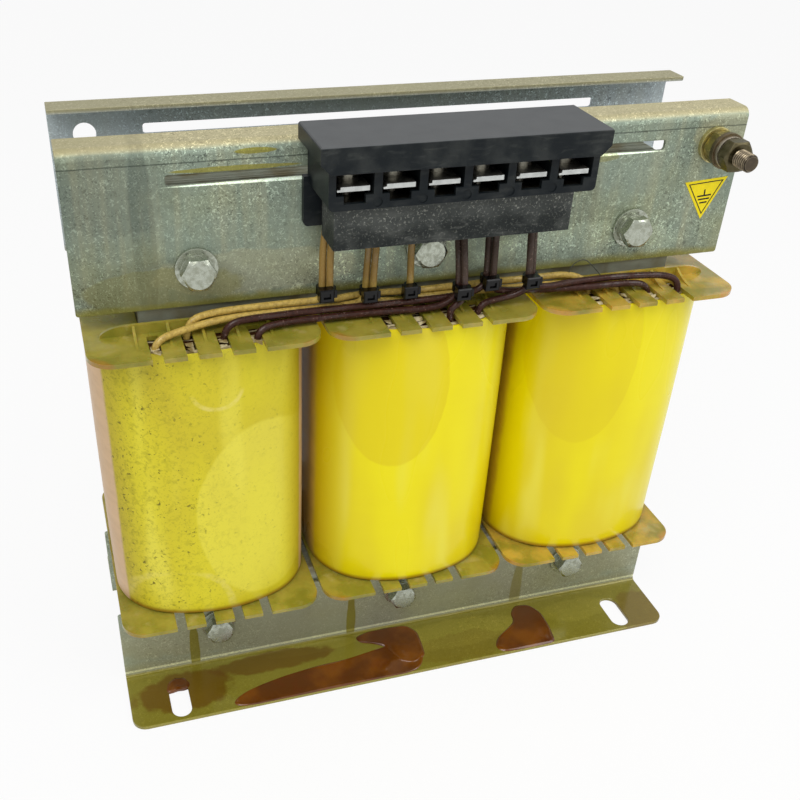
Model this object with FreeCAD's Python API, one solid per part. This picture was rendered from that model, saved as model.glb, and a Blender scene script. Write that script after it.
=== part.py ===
"""Three-phase dry-type transformer with a laminated core, three wound bobbins and a six-pole terminal block.

Frame: millimetres, +X along the three coils, -Y towards the terminal side, +Z up.
The origin is on the standing surface, in the middle of the four feet.
Each sub-part is written as its own STEP file to parts/NODE.step.
"""
import math
import os

import FreeCAD
import Part

Vec = FreeCAD.Vector

# Core of E and I laminations
limb_pitch = 100.0
limb_width = 50.0
window_height = 150.0
yoke_height = 50.0
core_depth = 66.0
core_base_height = 4.0
packet_count = 6

# Yoke bolts, nuts and washers, M8
bolt_radius = 4.0
bolt_across_flats = 13.0
bolt_head_height = 5.3
bolt_nut_height = 6.5
bolt_end_beyond_nut = 2.5
hexagon_turned_share = 0.89
hexagon_chamfer_angle = 30.0
flat_washer_radius = 9.0
flat_washer_thickness = 1.6
spring_washer_radius = 7.0
spring_washer_thickness = 2.0
spring_washer_slit = 1.2
spring_washer_slant = 0.6
washer_bore_clearance = 0.3
sleeve_clearance = 0.15
sleeve_wall = 0.9
sheet_hole_clearance = 0.5

# Clamp sheets
sheet_thickness = 2.0
bend_inner_radius = 1.0
clamp_length = 300.0
upper_web_below_window = 8.0
upper_web_above_yoke = 26.0
upper_flange_width = 16.0
long_slot_from_end = 40.0
long_slot_width = 6.0
long_slot_above_yoke = 12.0
earth_hole_from_end = 15.0
earth_hole_above_yoke = 11.0
earth_hole_radius = 5.0
lower_web_height = 45.0
foot_width = 38.0
foot_corner_radius = 7.0
foot_slot_from_end = 25.0
foot_slot_from_web = 23.5
foot_slot_width = 10.0
foot_slot_length = 20.5

# Bobbins
limb_clearance = 0.4
tube_wall = 2.0
tube_corner_radius = 1.5
cheek_half_length = 48.5
cheek_half_depth = 62.0
cheek_thickness = 2.0
cheek_corner_radius = 11.0
bobbin_end_gap = 0.5
slot_spacing = 14.0
slot_width = 4.7
slot_inner_end = 41.5
slot_offsets = (-1.5, -0.5, 0.5, 1.5)
fence_centre = 38.0
fence_thickness = 1.5
fence_height = 4.5
fence_half_length = 42.0
fence_end_length = 12.0
rib_root = 0.1
gusset_offsets = (-2.0, -1.0, 0.0, 1.0, 2.0)
gusset_thickness = 1.2
gusset_foot = 57.5
gusset_knee = 43.5
gusset_knee_height = 1.9

# Windings, from the bobbin tube outwards
winding_end_gap = 0.5
winding_clearance = 0.2
inner_winding_half_width = 34.5
inner_winding_reach = 43.5
inner_winding_side_flat = 26.0
inner_winding_front_radius = 120.0
layer_insulation = 1.0
layer_clearance = 0.1
coil_half_width = 47.5
coil_side_flat = 20.0
coil_front_radius = 72.0
coil_reach = {"left": 55.5, "centre": 57.5, "right": 56.5}
wrap_thickness = 0.8
outer_paper_thickness = 1.2
paper_above_winding = 0.3

# Terminal block
pole_count = 6
pole_pitch = 18.4
block_centre_x = 3.25
block_bottom_above_yoke = 6.5
block_height = 24.0
block_depth = 31.0
block_back_wall = 3.0
block_end_wall = 2.85
block_front_wall = 2.0
block_floor = 1.3
cell_width = 15.0
cell_sill = 5.8
entry_notch_width = 8.8
entry_notch_sill = 2.6
end_corner_radius = 2.0
boss_radius = 3.0
boss_length = 6.0
boss_above_bottom = 5.8
pin_mark_radius = 2.0
pin_mark_depth = 0.4
leg_width = 10.0
leg_drop = 16.5
leg_inset = 2.4
lead_window_width = 10.0
lead_window_depth = 6.0
cap_wall = 2.0
cap_length = 119.0
cap_shift = -1.15
cap_front_overhang = 4.0
cap_skirt = 8.5
cap_corner_chamfer = 4.0
cap_clearance = 0.2
cap_back_gap = 1.4
guard_length = 103.0
guard_shift = -0.8
guard_drop = 18.8
guard_setback = 6.0
guard_wall = 1.8
guard_depth = 17.5

# Terminal metal parts
bar_width = 12.0
bar_thickness = 1.3
bar_end_clearance = 0.3
plate_width = 13.0
plate_shift = -0.7
plate_depth = 19.0
plate_screw_from_front = 12.4
plate_thickness = 2.0
plate_underside_above_bar = 5.0
plate_front_proud = 0.4
plate_lip = 1.3
plate_lip_thickness = 0.9
terminal_screw_radius = 2.0
terminal_head_radius = 4.5
terminal_head_height = 2.6
terminal_head_chamfer = 0.9
terminal_slot_width = 1.0
terminal_slot_depth = 1.2
screw_clearance = 0.15
fixing_screw_radius = 1.5
fixing_head_radius = 2.8
fixing_head_height = 2.0
fixing_recess_width = 0.8
fixing_recess_depth = 0.8
fixing_washer_radius = 6.0
fixing_washer_thickness = 1.0
fixing_thread_length = 5.0

# Earth stud, M8, with two nuts. In the nuts the threads meet at their pitch line.
stud_tip_from_web = 28.0
stud_back_nut_height = 6.5
stud_back_end = 3.0
thread_pitch_radius = 3.6
stud_chamfer = 0.8
stud_washer_radius = 8.0
stud_washer_thickness = 2.2
stud_lock_radius = 7.0
label_width = 22.0
label_height = 19.0
label_thickness = 0.2
label_beyond_stud = 1.2
label_top_below_stud = 16.3
label_turn = 4.0

# Leads and cable ties
lead_radius = 1.4
lead_pair_gap = 0.45
lead_end_above_winding = 0.6
tie_wall = 1.0
tie_width = 3.4
tie_clearance = 0.35
tie_head_width = 6.4
tie_head_depth = 4.2
tie_head_height = 5.6
tie_head_shift = -1.2
tie_tail = 1.6
tie_tail_setback = 1.7
tie_head_chamfer = 0.5
tie_mouth_depth = 1.0
tie_mouth_height = 2.4

# Values of the modelling itself: how far cuts run past a face, the handle length that makes a
# curve a quarter ellipse, and the share of a run that an arc of a lead takes up
cut_over = 1.0
ellipse_handle = 0.5523
arc_share = 0.45

# Levels and faces that several pieces share
window_bottom = core_base_height + yoke_height
window_top = window_bottom + window_height
core_top = window_top + yoke_height
lower_bolt_z = core_base_height + yoke_height / 2
upper_bolt_z = window_top + yoke_height / 2
core_face = core_depth / 2
web_face = core_face + sheet_thickness
long_slot_half_length = clamp_length / 2 - long_slot_from_end
earth_hole_x = clamp_length / 2 - earth_hole_from_end
foot_slot_x = clamp_length / 2 - foot_slot_from_end
limb_places = {"left": -limb_pitch, "centre": 0.0, "right": limb_pitch}
upper_web_bottom = window_top + upper_web_below_window
clamp_top = core_top + upper_web_above_yoke
long_slot_z = core_top + long_slot_above_yoke
earth_z = core_top + earth_hole_above_yoke
bobbin_bottom = window_bottom
bobbin_top = window_top - bobbin_end_gap
tube_half_x = limb_width / 2 + limb_clearance
tube_half_y = core_face + limb_clearance
winding_bottom = bobbin_bottom + cheek_thickness + winding_end_gap
winding_top = bobbin_top - cheek_thickness - winding_end_gap
sleeve_inner_radius = bolt_radius + sleeve_clearance
sleeve_outer_radius = sleeve_inner_radius + sleeve_wall
core_hole_radius = sleeve_outer_radius + sleeve_clearance
sheet_hole_radius = bolt_radius + sheet_hole_clearance
washer_stack = flat_washer_thickness + spring_washer_thickness
block_bottom = core_top + block_bottom_above_yoke
block_top = block_bottom + block_height
block_front = -(web_face + block_depth)
block_half_length = pole_pitch * (pole_count - 1) / 2 + cell_width / 2 + block_end_wall
bar_bottom = block_bottom + block_floor
bar_top = bar_bottom + bar_thickness
plate_bottom = bar_top + plate_underside_above_bar
plate_top = plate_bottom + plate_thickness
block_screw_z = block_bottom + boss_above_bottom
pole_places = [block_centre_x + pole_pitch * (i - (pole_count - 1) / 2) for i in range(pole_count)]
divider_places = [(a + b) / 2 for a, b in zip(pole_places, pole_places[1:])]


def save(node, shape):
    """Write one sub-part to its own STEP file."""
    os.makedirs("parts", exist_ok=True)
    shape.exportStep("parts/" + node + ".step")
    solids = len(shape.Solids)
    print(f"{node}: {solids} solid(s), {shape.Volume / 1000:.2f} cm3, valid {shape.isValid()}")


def box(x0, x1, y0, y1, z0, z1):
    """Block between three pairs of coordinates."""
    return Part.makeBox(x1 - x0, y1 - y0, z1 - z0, Vec(x0, y0, z0))


def rod_y(x, z, y0, y1, radius):
    """Cylinder along Y from y0 to y1."""
    return Part.makeCylinder(radius, y1 - y0, Vec(x, y0, z), Vec(0, 1, 0))


def rod_z(x, y, z0, z1, radius):
    """Cylinder along Z from z0 to z1."""
    return Part.makeCylinder(radius, z1 - z0, Vec(x, y, z0), Vec(0, 0, 1))


def fuse_all(shapes):
    """Join shapes into one solid without inner seams."""
    body = shapes[0]
    if len(shapes) > 1:
        body = body.fuse(shapes[1:])
    return body.removeSplitter()


def prism(points, direction):
    """Solid from a flat polygon of points, carried along a vector."""
    wire = Part.makePolygon(points + [points[0]])
    return Part.Face(wire).extrude(direction)


def rounded_rectangle(half_x, half_y, radius, z):
    """Flat face at height z with four rounded corners."""
    x = half_x - radius
    y = half_y - radius
    cut = radius * (1 - math.sqrt(0.5))
    edges = []
    corners = [(1, 1), (-1, 1), (-1, -1), (1, -1)]
    for i, (sx, sy) in enumerate(corners):
        start = Vec(sx * half_x, sy * y, z) if i % 2 == 0 else Vec(sx * x, sy * half_y, z)
        end = Vec(sx * x, sy * half_y, z) if i % 2 == 0 else Vec(sx * half_x, sy * y, z)
        middle = Vec(sx * (half_x - cut), sy * (half_y - cut), z)
        edges.append(Part.Arc(start, middle, end).toShape())
        nx, ny = corners[(i + 1) % 4]
        after = Vec(nx * x, ny * half_y, z) if i % 2 == 0 else Vec(nx * half_x, ny * y, z)
        edges.append(Part.LineSegment(end, after).toShape())
    return Part.Face(Part.Wire(edges))


def slot_along_x(x0, x1, z, width, y0, y1):
    """Slot with round ends that runs along X and is cut through along Y."""
    r = width / 2
    middle = box(x0 + r, x1 - r, y0, y1, z - r, z + r)
    return middle.fuse([rod_y(x0 + r, z, y0, y1, r), rod_y(x1 - r, z, y0, y1, r)])


def slot_along_y(x, y0, y1, width, z0, z1):
    """Slot with round ends that runs along Y and is cut through along Z."""
    r = width / 2
    middle = box(x - r, x + r, y0 + r, y1 - r, z0, z1)
    return middle.fuse([rod_z(x, y0 + r, z0, z1, r), rod_z(x, y1 - r, z0, z1, r)])


def place_twice(shape):
    """Return the part and the same part turned half round for the other side."""
    other = shape.copy()
    other.rotate(Vec(0, 0, 0), Vec(0, 0, 1), 180)
    return shape, other


# Core packets, the E of each one turned over from the last

def yoke_holes():
    """Bolt holes through both yokes."""
    reach = core_depth
    holes = []
    for x in limb_places.values():
        for z in (lower_bolt_z, upper_bolt_z):
            holes.append(rod_y(x, z, -reach, reach, core_hole_radius))
    return holes


def core_packets():
    """Build the E packets and the I packets of the interleaved stack."""
    half = limb_pitch + limb_width / 2
    step = core_depth / packet_count
    e_packets = []
    i_packets = []
    for n in range(packet_count):
        y0 = -core_face + n * step
        turned = n % 2 == 1
        low = window_bottom if turned else core_base_height
        block = box(-half, half, y0, y0 + step, low, low + yoke_height + window_height)
        windows = []
        for side in (-1, 1):
            centre = side * limb_pitch / 2
            gap = (limb_pitch - limb_width) / 2
            windows.append(box(centre - gap, centre + gap, y0, y0 + step, window_bottom, window_top))
        yoke_low = core_base_height if turned else window_top
        bar = box(-half, half, y0, y0 + step, yoke_low, yoke_low + yoke_height)
        e_packets.append(block.cut(windows + yoke_holes()))
        i_packets.append(bar.cut(yoke_holes()))
    return Part.makeCompound(e_packets), Part.makeCompound(i_packets)


# Bent clamp sheets

def angle_profile(flange, web, to_point):
    """Closed outline of a bent sheet: a web and a flange that meet in a round bend.

    u runs across the web from the outer face of the bend, v along the web to the bend.
    """
    t = sheet_thickness
    ro = bend_inner_radius + t
    ri = bend_inner_radius
    s = math.sqrt(0.5)
    centre = (ro, web - ro)
    outer_mid = to_point(centre[0] - ro * s, centre[1] + ro * s)
    inner_mid = to_point(centre[0] - ri * s, centre[1] + ri * s)
    edges = [
        Part.LineSegment(to_point(0, 0), to_point(0, web - ro)).toShape(),
        Part.Arc(to_point(0, web - ro), outer_mid, to_point(ro, web)).toShape(),
        Part.LineSegment(to_point(ro, web), to_point(flange, web)).toShape(),
        Part.LineSegment(to_point(flange, web), to_point(flange, web - t)).toShape(),
        Part.LineSegment(to_point(flange, web - t), to_point(ro, web - t)).toShape(),
        Part.Arc(to_point(ro, web - t), inner_mid, to_point(t, web - ro)).toShape(),
        Part.LineSegment(to_point(t, web - ro), to_point(t, 0)).toShape(),
        Part.LineSegment(to_point(t, 0), to_point(0, 0)).toShape(),
    ]
    return Part.Face(Part.Wire(edges))


def upper_clamp():
    """Upper clamp: a web against the yoke and a flange turned in over it."""
    x0 = -clamp_length / 2
    web = clamp_top - upper_web_bottom

    def to_point(u, v):
        return Vec(x0, -web_face + u, upper_web_bottom + v)

    sheet = angle_profile(upper_flange_width, web, to_point).extrude(Vec(clamp_length, 0, 0))
    cuts = [rod_y(x, upper_bolt_z, -web_face - cut_over, -core_face + cut_over, sheet_hole_radius)
            for x in limb_places.values()]
    cuts.append(slot_along_x(-long_slot_half_length, long_slot_half_length, long_slot_z,
                             long_slot_width, -web_face - cut_over, -core_face + cut_over))
    cuts.append(rod_y(earth_hole_x, earth_z, -web_face - cut_over, -core_face + cut_over, earth_hole_radius))
    return sheet.cut(cuts)


def lower_clamp():
    """Lower clamp: a web against the yoke and a foot flange turned out at the floor."""
    x0 = -clamp_length / 2

    def to_point(u, v):
        return Vec(x0, -core_face - u, lower_web_height - v)

    sheet = angle_profile(foot_width, lower_web_height, to_point).extrude(Vec(clamp_length, 0, 0))
    cuts = [rod_y(x, lower_bolt_z, -web_face - cut_over, -core_face + cut_over, sheet_hole_radius)
            for x in limb_places.values()]
    slot_y = -web_face - foot_slot_from_web
    for side in (-1, 1):
        cuts.append(slot_along_y(side * foot_slot_x, slot_y - foot_slot_length / 2,
                                 slot_y + foot_slot_length / 2, foot_slot_width,
                                 -cut_over, sheet_thickness + cut_over))
    sheet = sheet.cut(cuts)
    foot_edge = -core_face - foot_width
    corners = [e for e in sheet.Edges
               if abs(e.BoundBox.XLength) < 0.01 and abs(e.BoundBox.YLength) < 0.01
               and abs(e.CenterOfMass.y - foot_edge) < 0.01
               and abs(abs(e.CenterOfMass.x) - clamp_length / 2) < 0.01]
    return sheet.makeFillet(foot_corner_radius, corners)


# Hexagon fasteners

def hexagon(x, z, y0, y1, across_flats, chamfer_low, chamfer_high):
    """Hexagon prism along Y with its corners turned down at one or both ends."""
    r = across_flats / math.sqrt(3)
    points = [Vec(x + r * math.cos(math.radians(60 * i)), y0, z + r * math.sin(math.radians(60 * i)))
              for i in range(6)]
    body = prism(points, Vec(0, y1 - y0, 0))
    flat = across_flats / 2 * hexagon_turned_share
    drop = (r - flat) * math.tan(math.radians(hexagon_chamfer_angle))
    outline = [Vec(x, y0, z)]
    outline.append(Vec(x + (flat if chamfer_low else r), y0, z))
    if chamfer_low:
        outline.append(Vec(x + r, y0 + drop, z))
    if chamfer_high:
        outline.append(Vec(x + r, y1 - drop, z))
    outline.append(Vec(x + (flat if chamfer_high else r), y1, z))
    outline.append(Vec(x, y1, z))
    turned = Part.Face(Part.makePolygon(outline + [outline[0]])).revolve(Vec(x, y0, z), Vec(0, 1, 0), 360)
    return body.common(turned)


def ring_y(x, z, y0, y1, inner, outer):
    """Flat ring along Y."""
    return rod_y(x, z, y0, y1, outer).cut(rod_y(x, z, y0, y1, inner))


def spring_ring(x, z, y0, y1, inner, outer):
    """Spring washer: a ring with a slanted slit at its lowest place."""
    thick = y1 - y0
    lean = thick * spring_washer_slant
    half = spring_washer_slit / 2
    z0 = z - outer - cut_over
    z1 = z - inner + cut_over
    points = [Vec(x - half - lean, y0, z0), Vec(x + half - lean, y0, z0),
              Vec(x + half + lean, y1, z0), Vec(x - half + lean, y1, z0)]
    slit = prism(points, Vec(0, 0, z1 - z0))
    return ring_y(x, z, y0, y1, inner, outer).cut(slit)


def yoke_bolt(x, z):
    """Hexagon bolt through one yoke, its head on the terminal side."""
    head_back = -web_face - washer_stack
    end = web_face + washer_stack + bolt_nut_height + bolt_end_beyond_nut
    head = hexagon(x, z, head_back - bolt_head_height, head_back, bolt_across_flats, True, False)
    shank = rod_y(x, z, head_back, end, bolt_radius)
    tip = [e for e in shank.Edges if abs(e.CenterOfMass.y - end) < 0.01]
    shank = shank.makeChamfer(stud_chamfer, tip[:1])
    return fuse_all([head, shank])


def yoke_nut(x, z):
    """Nut on the rear end of a yoke bolt."""
    start = web_face + washer_stack
    nut = hexagon(x, z, start, start + bolt_nut_height, bolt_across_flats, False, True)
    return nut.cut(rod_y(x, z, start, start + bolt_nut_height, bolt_radius))


def yoke_fasteners():
    """Save the bolts of both yokes with their nuts, washers and insulating sleeves."""
    nuts = []
    flats = []
    springs = []
    sleeves = []
    bore = bolt_radius + washer_bore_clearance
    for name, z in (("upper", upper_bolt_z), ("lower", lower_bolt_z)):
        bolts = [yoke_bolt(x, z) for x in limb_places.values()]
        save(name + "_yoke_bolts", Part.makeCompound(bolts))
        for x in limb_places.values():
            nuts.append(yoke_nut(x, z))
            for side in (-1, 1):
                a = web_face
                b = web_face + flat_washer_thickness
                c = web_face + washer_stack
                low, high = (a, b) if side > 0 else (-b, -a)
                flats.append(ring_y(x, z, low, high, bore, flat_washer_radius))
                low, high = (b, c) if side > 0 else (-c, -b)
                springs.append(spring_ring(x, z, low, high, bore, spring_washer_radius))
            sleeves.append(ring_y(x, z, -core_face, core_face, sleeve_inner_radius, sleeve_outer_radius))
    save("yoke_nuts", Part.makeCompound(nuts))
    save("yoke_flat_washers", Part.makeCompound(flats))
    save("yoke_spring_washers", Part.makeCompound(springs))
    save("bolt_insulating_sleeves", Part.makeCompound(sleeves))


# Bobbins

def fence(side):
    """Upright rib across the cheek whose ends fall in a quarter ellipse."""
    z0 = -rib_root
    top = fence_height
    a = fence_end_length
    inner = fence_half_length - a
    y = side * fence_centre - fence_thickness / 2
    edges = [Part.LineSegment(Vec(-inner, y, top), Vec(inner, y, top)).toShape()]
    for sx in (1, -1):
        edges.append(quarter_ellipse(sx * inner, y, z0, sx * a, top - z0))
    edges.append(Part.LineSegment(Vec(-fence_half_length, y, z0), Vec(fence_half_length, y, z0)).toShape())
    wire = Part.Wire(Part.__sortEdges__(edges))
    return Part.Face(wire).extrude(Vec(0, fence_thickness, 0))


def quarter_ellipse(x, y, z, across, up):
    """Quarter of an ellipse from the top of its short axis down to the end of its long one."""
    curve = Part.BezierCurve()
    k = ellipse_handle
    curve.setPoles([Vec(x, y, z + up), Vec(x + k * across, y, z + up),
                    Vec(x + across, y, z + k * up), Vec(x + across, y, z)])
    return curve.toShape()


def gusset(x, side):
    """Thin web in front of the fence, its top edge a hollow curve down to the cheek."""
    x0 = x - gusset_thickness / 2
    back = side * fence_centre
    knee = side * gusset_knee
    foot = side * gusset_foot
    z0 = -rib_root
    middle = Vec(x0, knee, gusset_knee_height)
    curve = Part.Arc(Vec(x0, back, fence_height), middle, Vec(x0, foot, 0)).toShape()
    edges = [curve,
             Part.LineSegment(Vec(x0, foot, 0), Vec(x0, foot, z0)).toShape(),
             Part.LineSegment(Vec(x0, foot, z0), Vec(x0, back, z0)).toShape(),
             Part.LineSegment(Vec(x0, back, z0), Vec(x0, back, fence_height)).toShape()]
    return Part.Face(Part.Wire(Part.__sortEdges__(edges))).extrude(Vec(gusset_thickness, 0, 0))


def cheek():
    """Upper cheek with its outer face at height zero: wire slots, fences and gussets on both sides."""
    plate = rounded_rectangle(cheek_half_length, cheek_half_depth, cheek_corner_radius, -cheek_thickness)
    plate = plate.extrude(Vec(0, 0, cheek_thickness))
    cuts = []
    for side in (-1, 1):
        y0, y1 = sorted((side * slot_inner_end, side * (cheek_half_depth + cut_over)))
        for offset in slot_offsets:
            x = offset * slot_spacing
            cuts.append(box(x - slot_width / 2, x + slot_width / 2, y0, y1,
                            -cheek_thickness - cut_over, cut_over))
    plate = plate.cut(cuts)
    pieces = [plate]
    for side in (-1, 1):
        pieces.append(fence(side))
        for offset in gusset_offsets:
            pieces.append(gusset(offset * slot_spacing, side))
    return fuse_all(pieces)


def bobbin():
    """Bobbin for one limb, standing on the lower yoke: a tube between two cheeks."""
    top = cheek()
    bottom = top.mirror(Vec(0, 0, 0), Vec(0, 0, 1))
    top.translate(Vec(0, 0, bobbin_top))
    bottom.translate(Vec(0, 0, bobbin_bottom))
    height = bobbin_top - bobbin_bottom
    tube = rounded_rectangle(tube_half_x + tube_wall, tube_half_y + tube_wall,
                             tube_corner_radius + tube_wall, bobbin_bottom).extrude(Vec(0, 0, height))
    hole = rounded_rectangle(tube_half_x, tube_half_y, tube_corner_radius / 2,
                             bobbin_bottom - cut_over).extrude(Vec(0, 0, height + 2 * cut_over))
    return fuse_all([tube, top, bottom]).cut(hole)


# Windings

def coil_face(half_width, reach, side_flat, front_radius, z):
    """Section of a wound coil: flat sides, round corners and full fronts.

    A corner arc meets the flat side and the large front arc without a kink. The corner
    radius follows from the other sizes.
    """
    rise = reach - side_flat
    corner = front_radius ** 2 - half_width ** 2 - (front_radius - rise) ** 2
    corner = corner / (2 * (front_radius - half_width))
    cx = half_width - corner
    front_centre = front_radius - reach
    away = math.atan2(side_flat + front_centre, cx)
    meet_x = cx + corner * math.cos(away)
    meet_y = side_flat + corner * math.sin(away)
    mid_x = cx + corner * math.cos(away / 2)
    mid_y = side_flat + corner * math.sin(away / 2)
    edges = []
    for s in (1, -1):
        edges.append(Part.Arc(Vec(half_width, s * side_flat, z), Vec(mid_x, s * mid_y, z),
                              Vec(meet_x, s * meet_y, z)).toShape())
        edges.append(Part.Arc(Vec(meet_x, s * meet_y, z), Vec(0, s * reach, z),
                              Vec(-meet_x, s * meet_y, z)).toShape())
        edges.append(Part.Arc(Vec(-meet_x, s * meet_y, z), Vec(-mid_x, s * mid_y, z),
                              Vec(-half_width, s * side_flat, z)).toShape())
        edges.append(Part.LineSegment(Vec(s * half_width, -side_flat, z),
                                      Vec(s * half_width, side_flat, z)).toShape())
    return Part.Face(Part.Wire(Part.__sortEdges__(edges)))


def coil_block(half_width, reach, side_flat, front_radius, grow, low, high):
    """Solid of a coil section that is grown evenly outwards."""
    face = coil_face(half_width + grow, reach + grow, side_flat, front_radius + grow, low)
    return face.extrude(Vec(0, 0, high - low))


def coil_layers(name):
    """Return the rings wound on one bobbin, from the inside out."""
    low = winding_bottom
    high = winding_top
    reach = coil_reach[name]

    def inner(grow, extra=0.0):
        return coil_block(inner_winding_half_width, inner_winding_reach, inner_winding_side_flat,
                          inner_winding_front_radius, grow, low - extra, high + extra)

    def outer(grow, rise=0.0, extra=0.0):
        return coil_block(coil_half_width, reach, coil_side_flat, coil_front_radius,
                          grow, low - extra, high + rise + extra)

    start = rounded_rectangle(tube_half_x + tube_wall + winding_clearance,
                              tube_half_y + tube_wall + winding_clearance,
                              tube_corner_radius + tube_wall + winding_clearance, low - cut_over)
    start = start.extrude(Vec(0, 0, high - low + 2 * cut_over))
    film = -wrap_thickness
    paper = film - layer_clearance - outer_paper_thickness
    winding = paper - layer_clearance
    return {
        "inner_winding": inner(0).cut(start),
        "layer_insulation": inner(layer_clearance + layer_insulation).cut(inner(layer_clearance, cut_over)),
        "outer_winding": outer(winding).cut(inner(2 * layer_clearance + layer_insulation, cut_over)),
        "outer_paper": outer(film - layer_clearance, paper_above_winding).cut(outer(paper, 0, cut_over)),
        "coil_wrap": outer(0).cut(outer(film, 0, cut_over)),
    }


# Terminal block

def block_body():
    """Moulded block: back wall, floor, end walls and dividers, open at the front and the top."""
    x0 = block_centre_x - block_half_length
    x1 = block_centre_x + block_half_length
    y0 = block_front
    y1 = -web_face
    body = box(x0, x1, y0, y1, block_bottom, block_top)
    lower = [e for e in body.Edges
             if e.BoundBox.YLength > block_depth - 1 and abs(e.CenterOfMass.z - block_bottom) < 0.01]
    body = body.makeFillet(end_corner_radius, lower)
    cuts = []
    back = y1 - block_back_wall
    for x in pole_places:
        half = cell_width / 2
        cuts.append(box(x - half, x + half, y0 + block_front_wall, back, bar_bottom, block_top))
        cuts.append(box(x - half, x + half, y0, y0 + block_front_wall,
                        block_bottom + cell_sill, block_top))
        notch = entry_notch_width / 2
        cuts.append(box(x - notch, x + notch, y0, y0 + block_front_wall,
                        block_bottom + entry_notch_sill, block_bottom + cell_sill))
        window = lead_window_width / 2
        cuts.append(box(x - window, x + window, back - lead_window_depth, back, block_bottom, bar_bottom))
    for x in divider_places:
        cuts.append(rod_y(x, block_bottom + entry_notch_sill, y0, y0 + pin_mark_depth, pin_mark_radius))
    pieces = [body.cut(cuts)]
    for x in (divider_places[0], divider_places[-1]):
        pieces.append(rod_y(x, block_screw_z, y1 - boss_length, y1, boss_radius))
    for side in (-1, 1):
        edge = block_centre_x + side * (block_half_length + leg_inset)
        a, b = sorted((edge, edge - side * leg_width))
        low = block_bottom - leg_drop
        leg = box(a, b, back, y1, low, block_bottom + end_corner_radius + leg_inset)
        ends = [e for e in leg.Edges if e.BoundBox.YLength > block_back_wall / 2
                and abs(e.CenterOfMass.z - low) < 0.01]
        pieces.append(leg.makeFillet(end_corner_radius, ends))
    body = fuse_all(pieces)
    blind = [rod_y(x, block_screw_z, y1 - fixing_thread_length, y1, fixing_screw_radius)
             for x in (divider_places[0], divider_places[-1])]
    return body.cut(blind)


def block_cap():
    """Lid of the block: a shell whose front skirt hangs in front of the clamp plates."""
    centre = block_centre_x + cap_shift
    x0 = centre - cap_length / 2
    x1 = centre + cap_length / 2
    y0 = block_front - cap_front_overhang
    y1 = -web_face - cap_back_gap
    low = block_top - cap_skirt
    top = block_top + cap_wall
    c = cap_corner_chamfer
    points = [Vec(x0, y0, top), Vec(x1, y0, top), Vec(x1, y0, low + c), Vec(x1 - c, y0, low),
              Vec(x0 + c, y0, low), Vec(x0, y0, low + c)]
    shell = prism(points, Vec(0, y1 - y0, 0))
    w = cap_wall
    inner_left = block_centre_x - block_half_length - cap_clearance
    inner_right = block_centre_x + block_half_length + cap_clearance
    hollow = box(inner_left, inner_right, y0 + w, y1, low - cut_over, block_top)
    top_edges = [e for e in shell.Edges if abs(e.CenterOfMass.z - top) < 0.01
                 and e.CenterOfMass.y < y1 - 0.01]
    shell = shell.makeChamfer(w / 3, top_edges)
    return shell.cut(hollow)


def lead_guard():
    """Skirt under the block that hides the leads: a front wall and two short side walls."""
    centre = block_centre_x + guard_shift
    x0 = centre - guard_length / 2
    x1 = centre + guard_length / 2
    y0 = block_front + guard_setback
    low = block_bottom - guard_drop
    outer = box(x0, x1, y0, y0 + guard_depth, low, block_bottom)
    hollow = box(x0 + guard_wall, x1 - guard_wall, y0 + guard_wall, y0 + guard_depth + cut_over,
                 low - cut_over, block_bottom + cut_over)
    return outer.cut(hollow)


def screw_place_y():
    """Distance of the clamp screws along Y, well behind the front edge of the clamp plate."""
    return block_front - plate_front_proud + plate_screw_from_front


def terminal_metal():
    """Save the bars, clamp plates and screws of the poles."""
    bars = []
    plates = []
    screws = []
    y_screw = screw_place_y()
    y_front = block_front + block_front_wall + bar_end_clearance
    y_back = -web_face - block_back_wall - bar_end_clearance
    for x in pole_places:
        bar = box(x - bar_width / 2, x + bar_width / 2, y_front, y_back, bar_bottom, bar_top)
        bars.append(bar.cut(rod_z(x, y_screw, bar_bottom, bar_top, terminal_screw_radius)))
        y0 = block_front - plate_front_proud
        left = x + plate_shift - plate_width / 2
        right = left + plate_width
        step = plate_bottom + plate_lip_thickness
        outline = [Vec(left, y0, plate_bottom), Vec(right, y0, plate_bottom), Vec(right, y0, plate_top),
                   Vec(left + plate_lip, y0, plate_top), Vec(left + plate_lip, y0, step),
                   Vec(left, y0, step)]
        plate = prism(outline, Vec(0, plate_depth, 0))
        plates.append(plate.cut(rod_z(x, y_screw, plate_bottom, plate_top,
                                      terminal_screw_radius + screw_clearance)))
        head = rod_z(x, y_screw, plate_top, plate_top + terminal_head_height, terminal_head_radius)
        rim = [e for e in head.Edges if abs(e.CenterOfMass.z - plate_top - terminal_head_height) < 0.01]
        head = head.makeChamfer(terminal_head_chamfer, rim[:1])
        slot_top = plate_top + terminal_head_height
        head = head.cut(box(x - terminal_head_radius, x + terminal_head_radius,
                            y_screw - terminal_slot_width / 2, y_screw + terminal_slot_width / 2,
                            slot_top - terminal_slot_depth, slot_top))
        shank = rod_z(x, y_screw, bar_bottom, plate_top, terminal_screw_radius)
        screws.append(fuse_all([head, shank]))
    save("terminal_bars", Part.makeCompound(bars))
    save("terminal_clamp_plates", Part.makeCompound(plates))
    save("terminal_screws", Part.makeCompound(screws))


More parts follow.
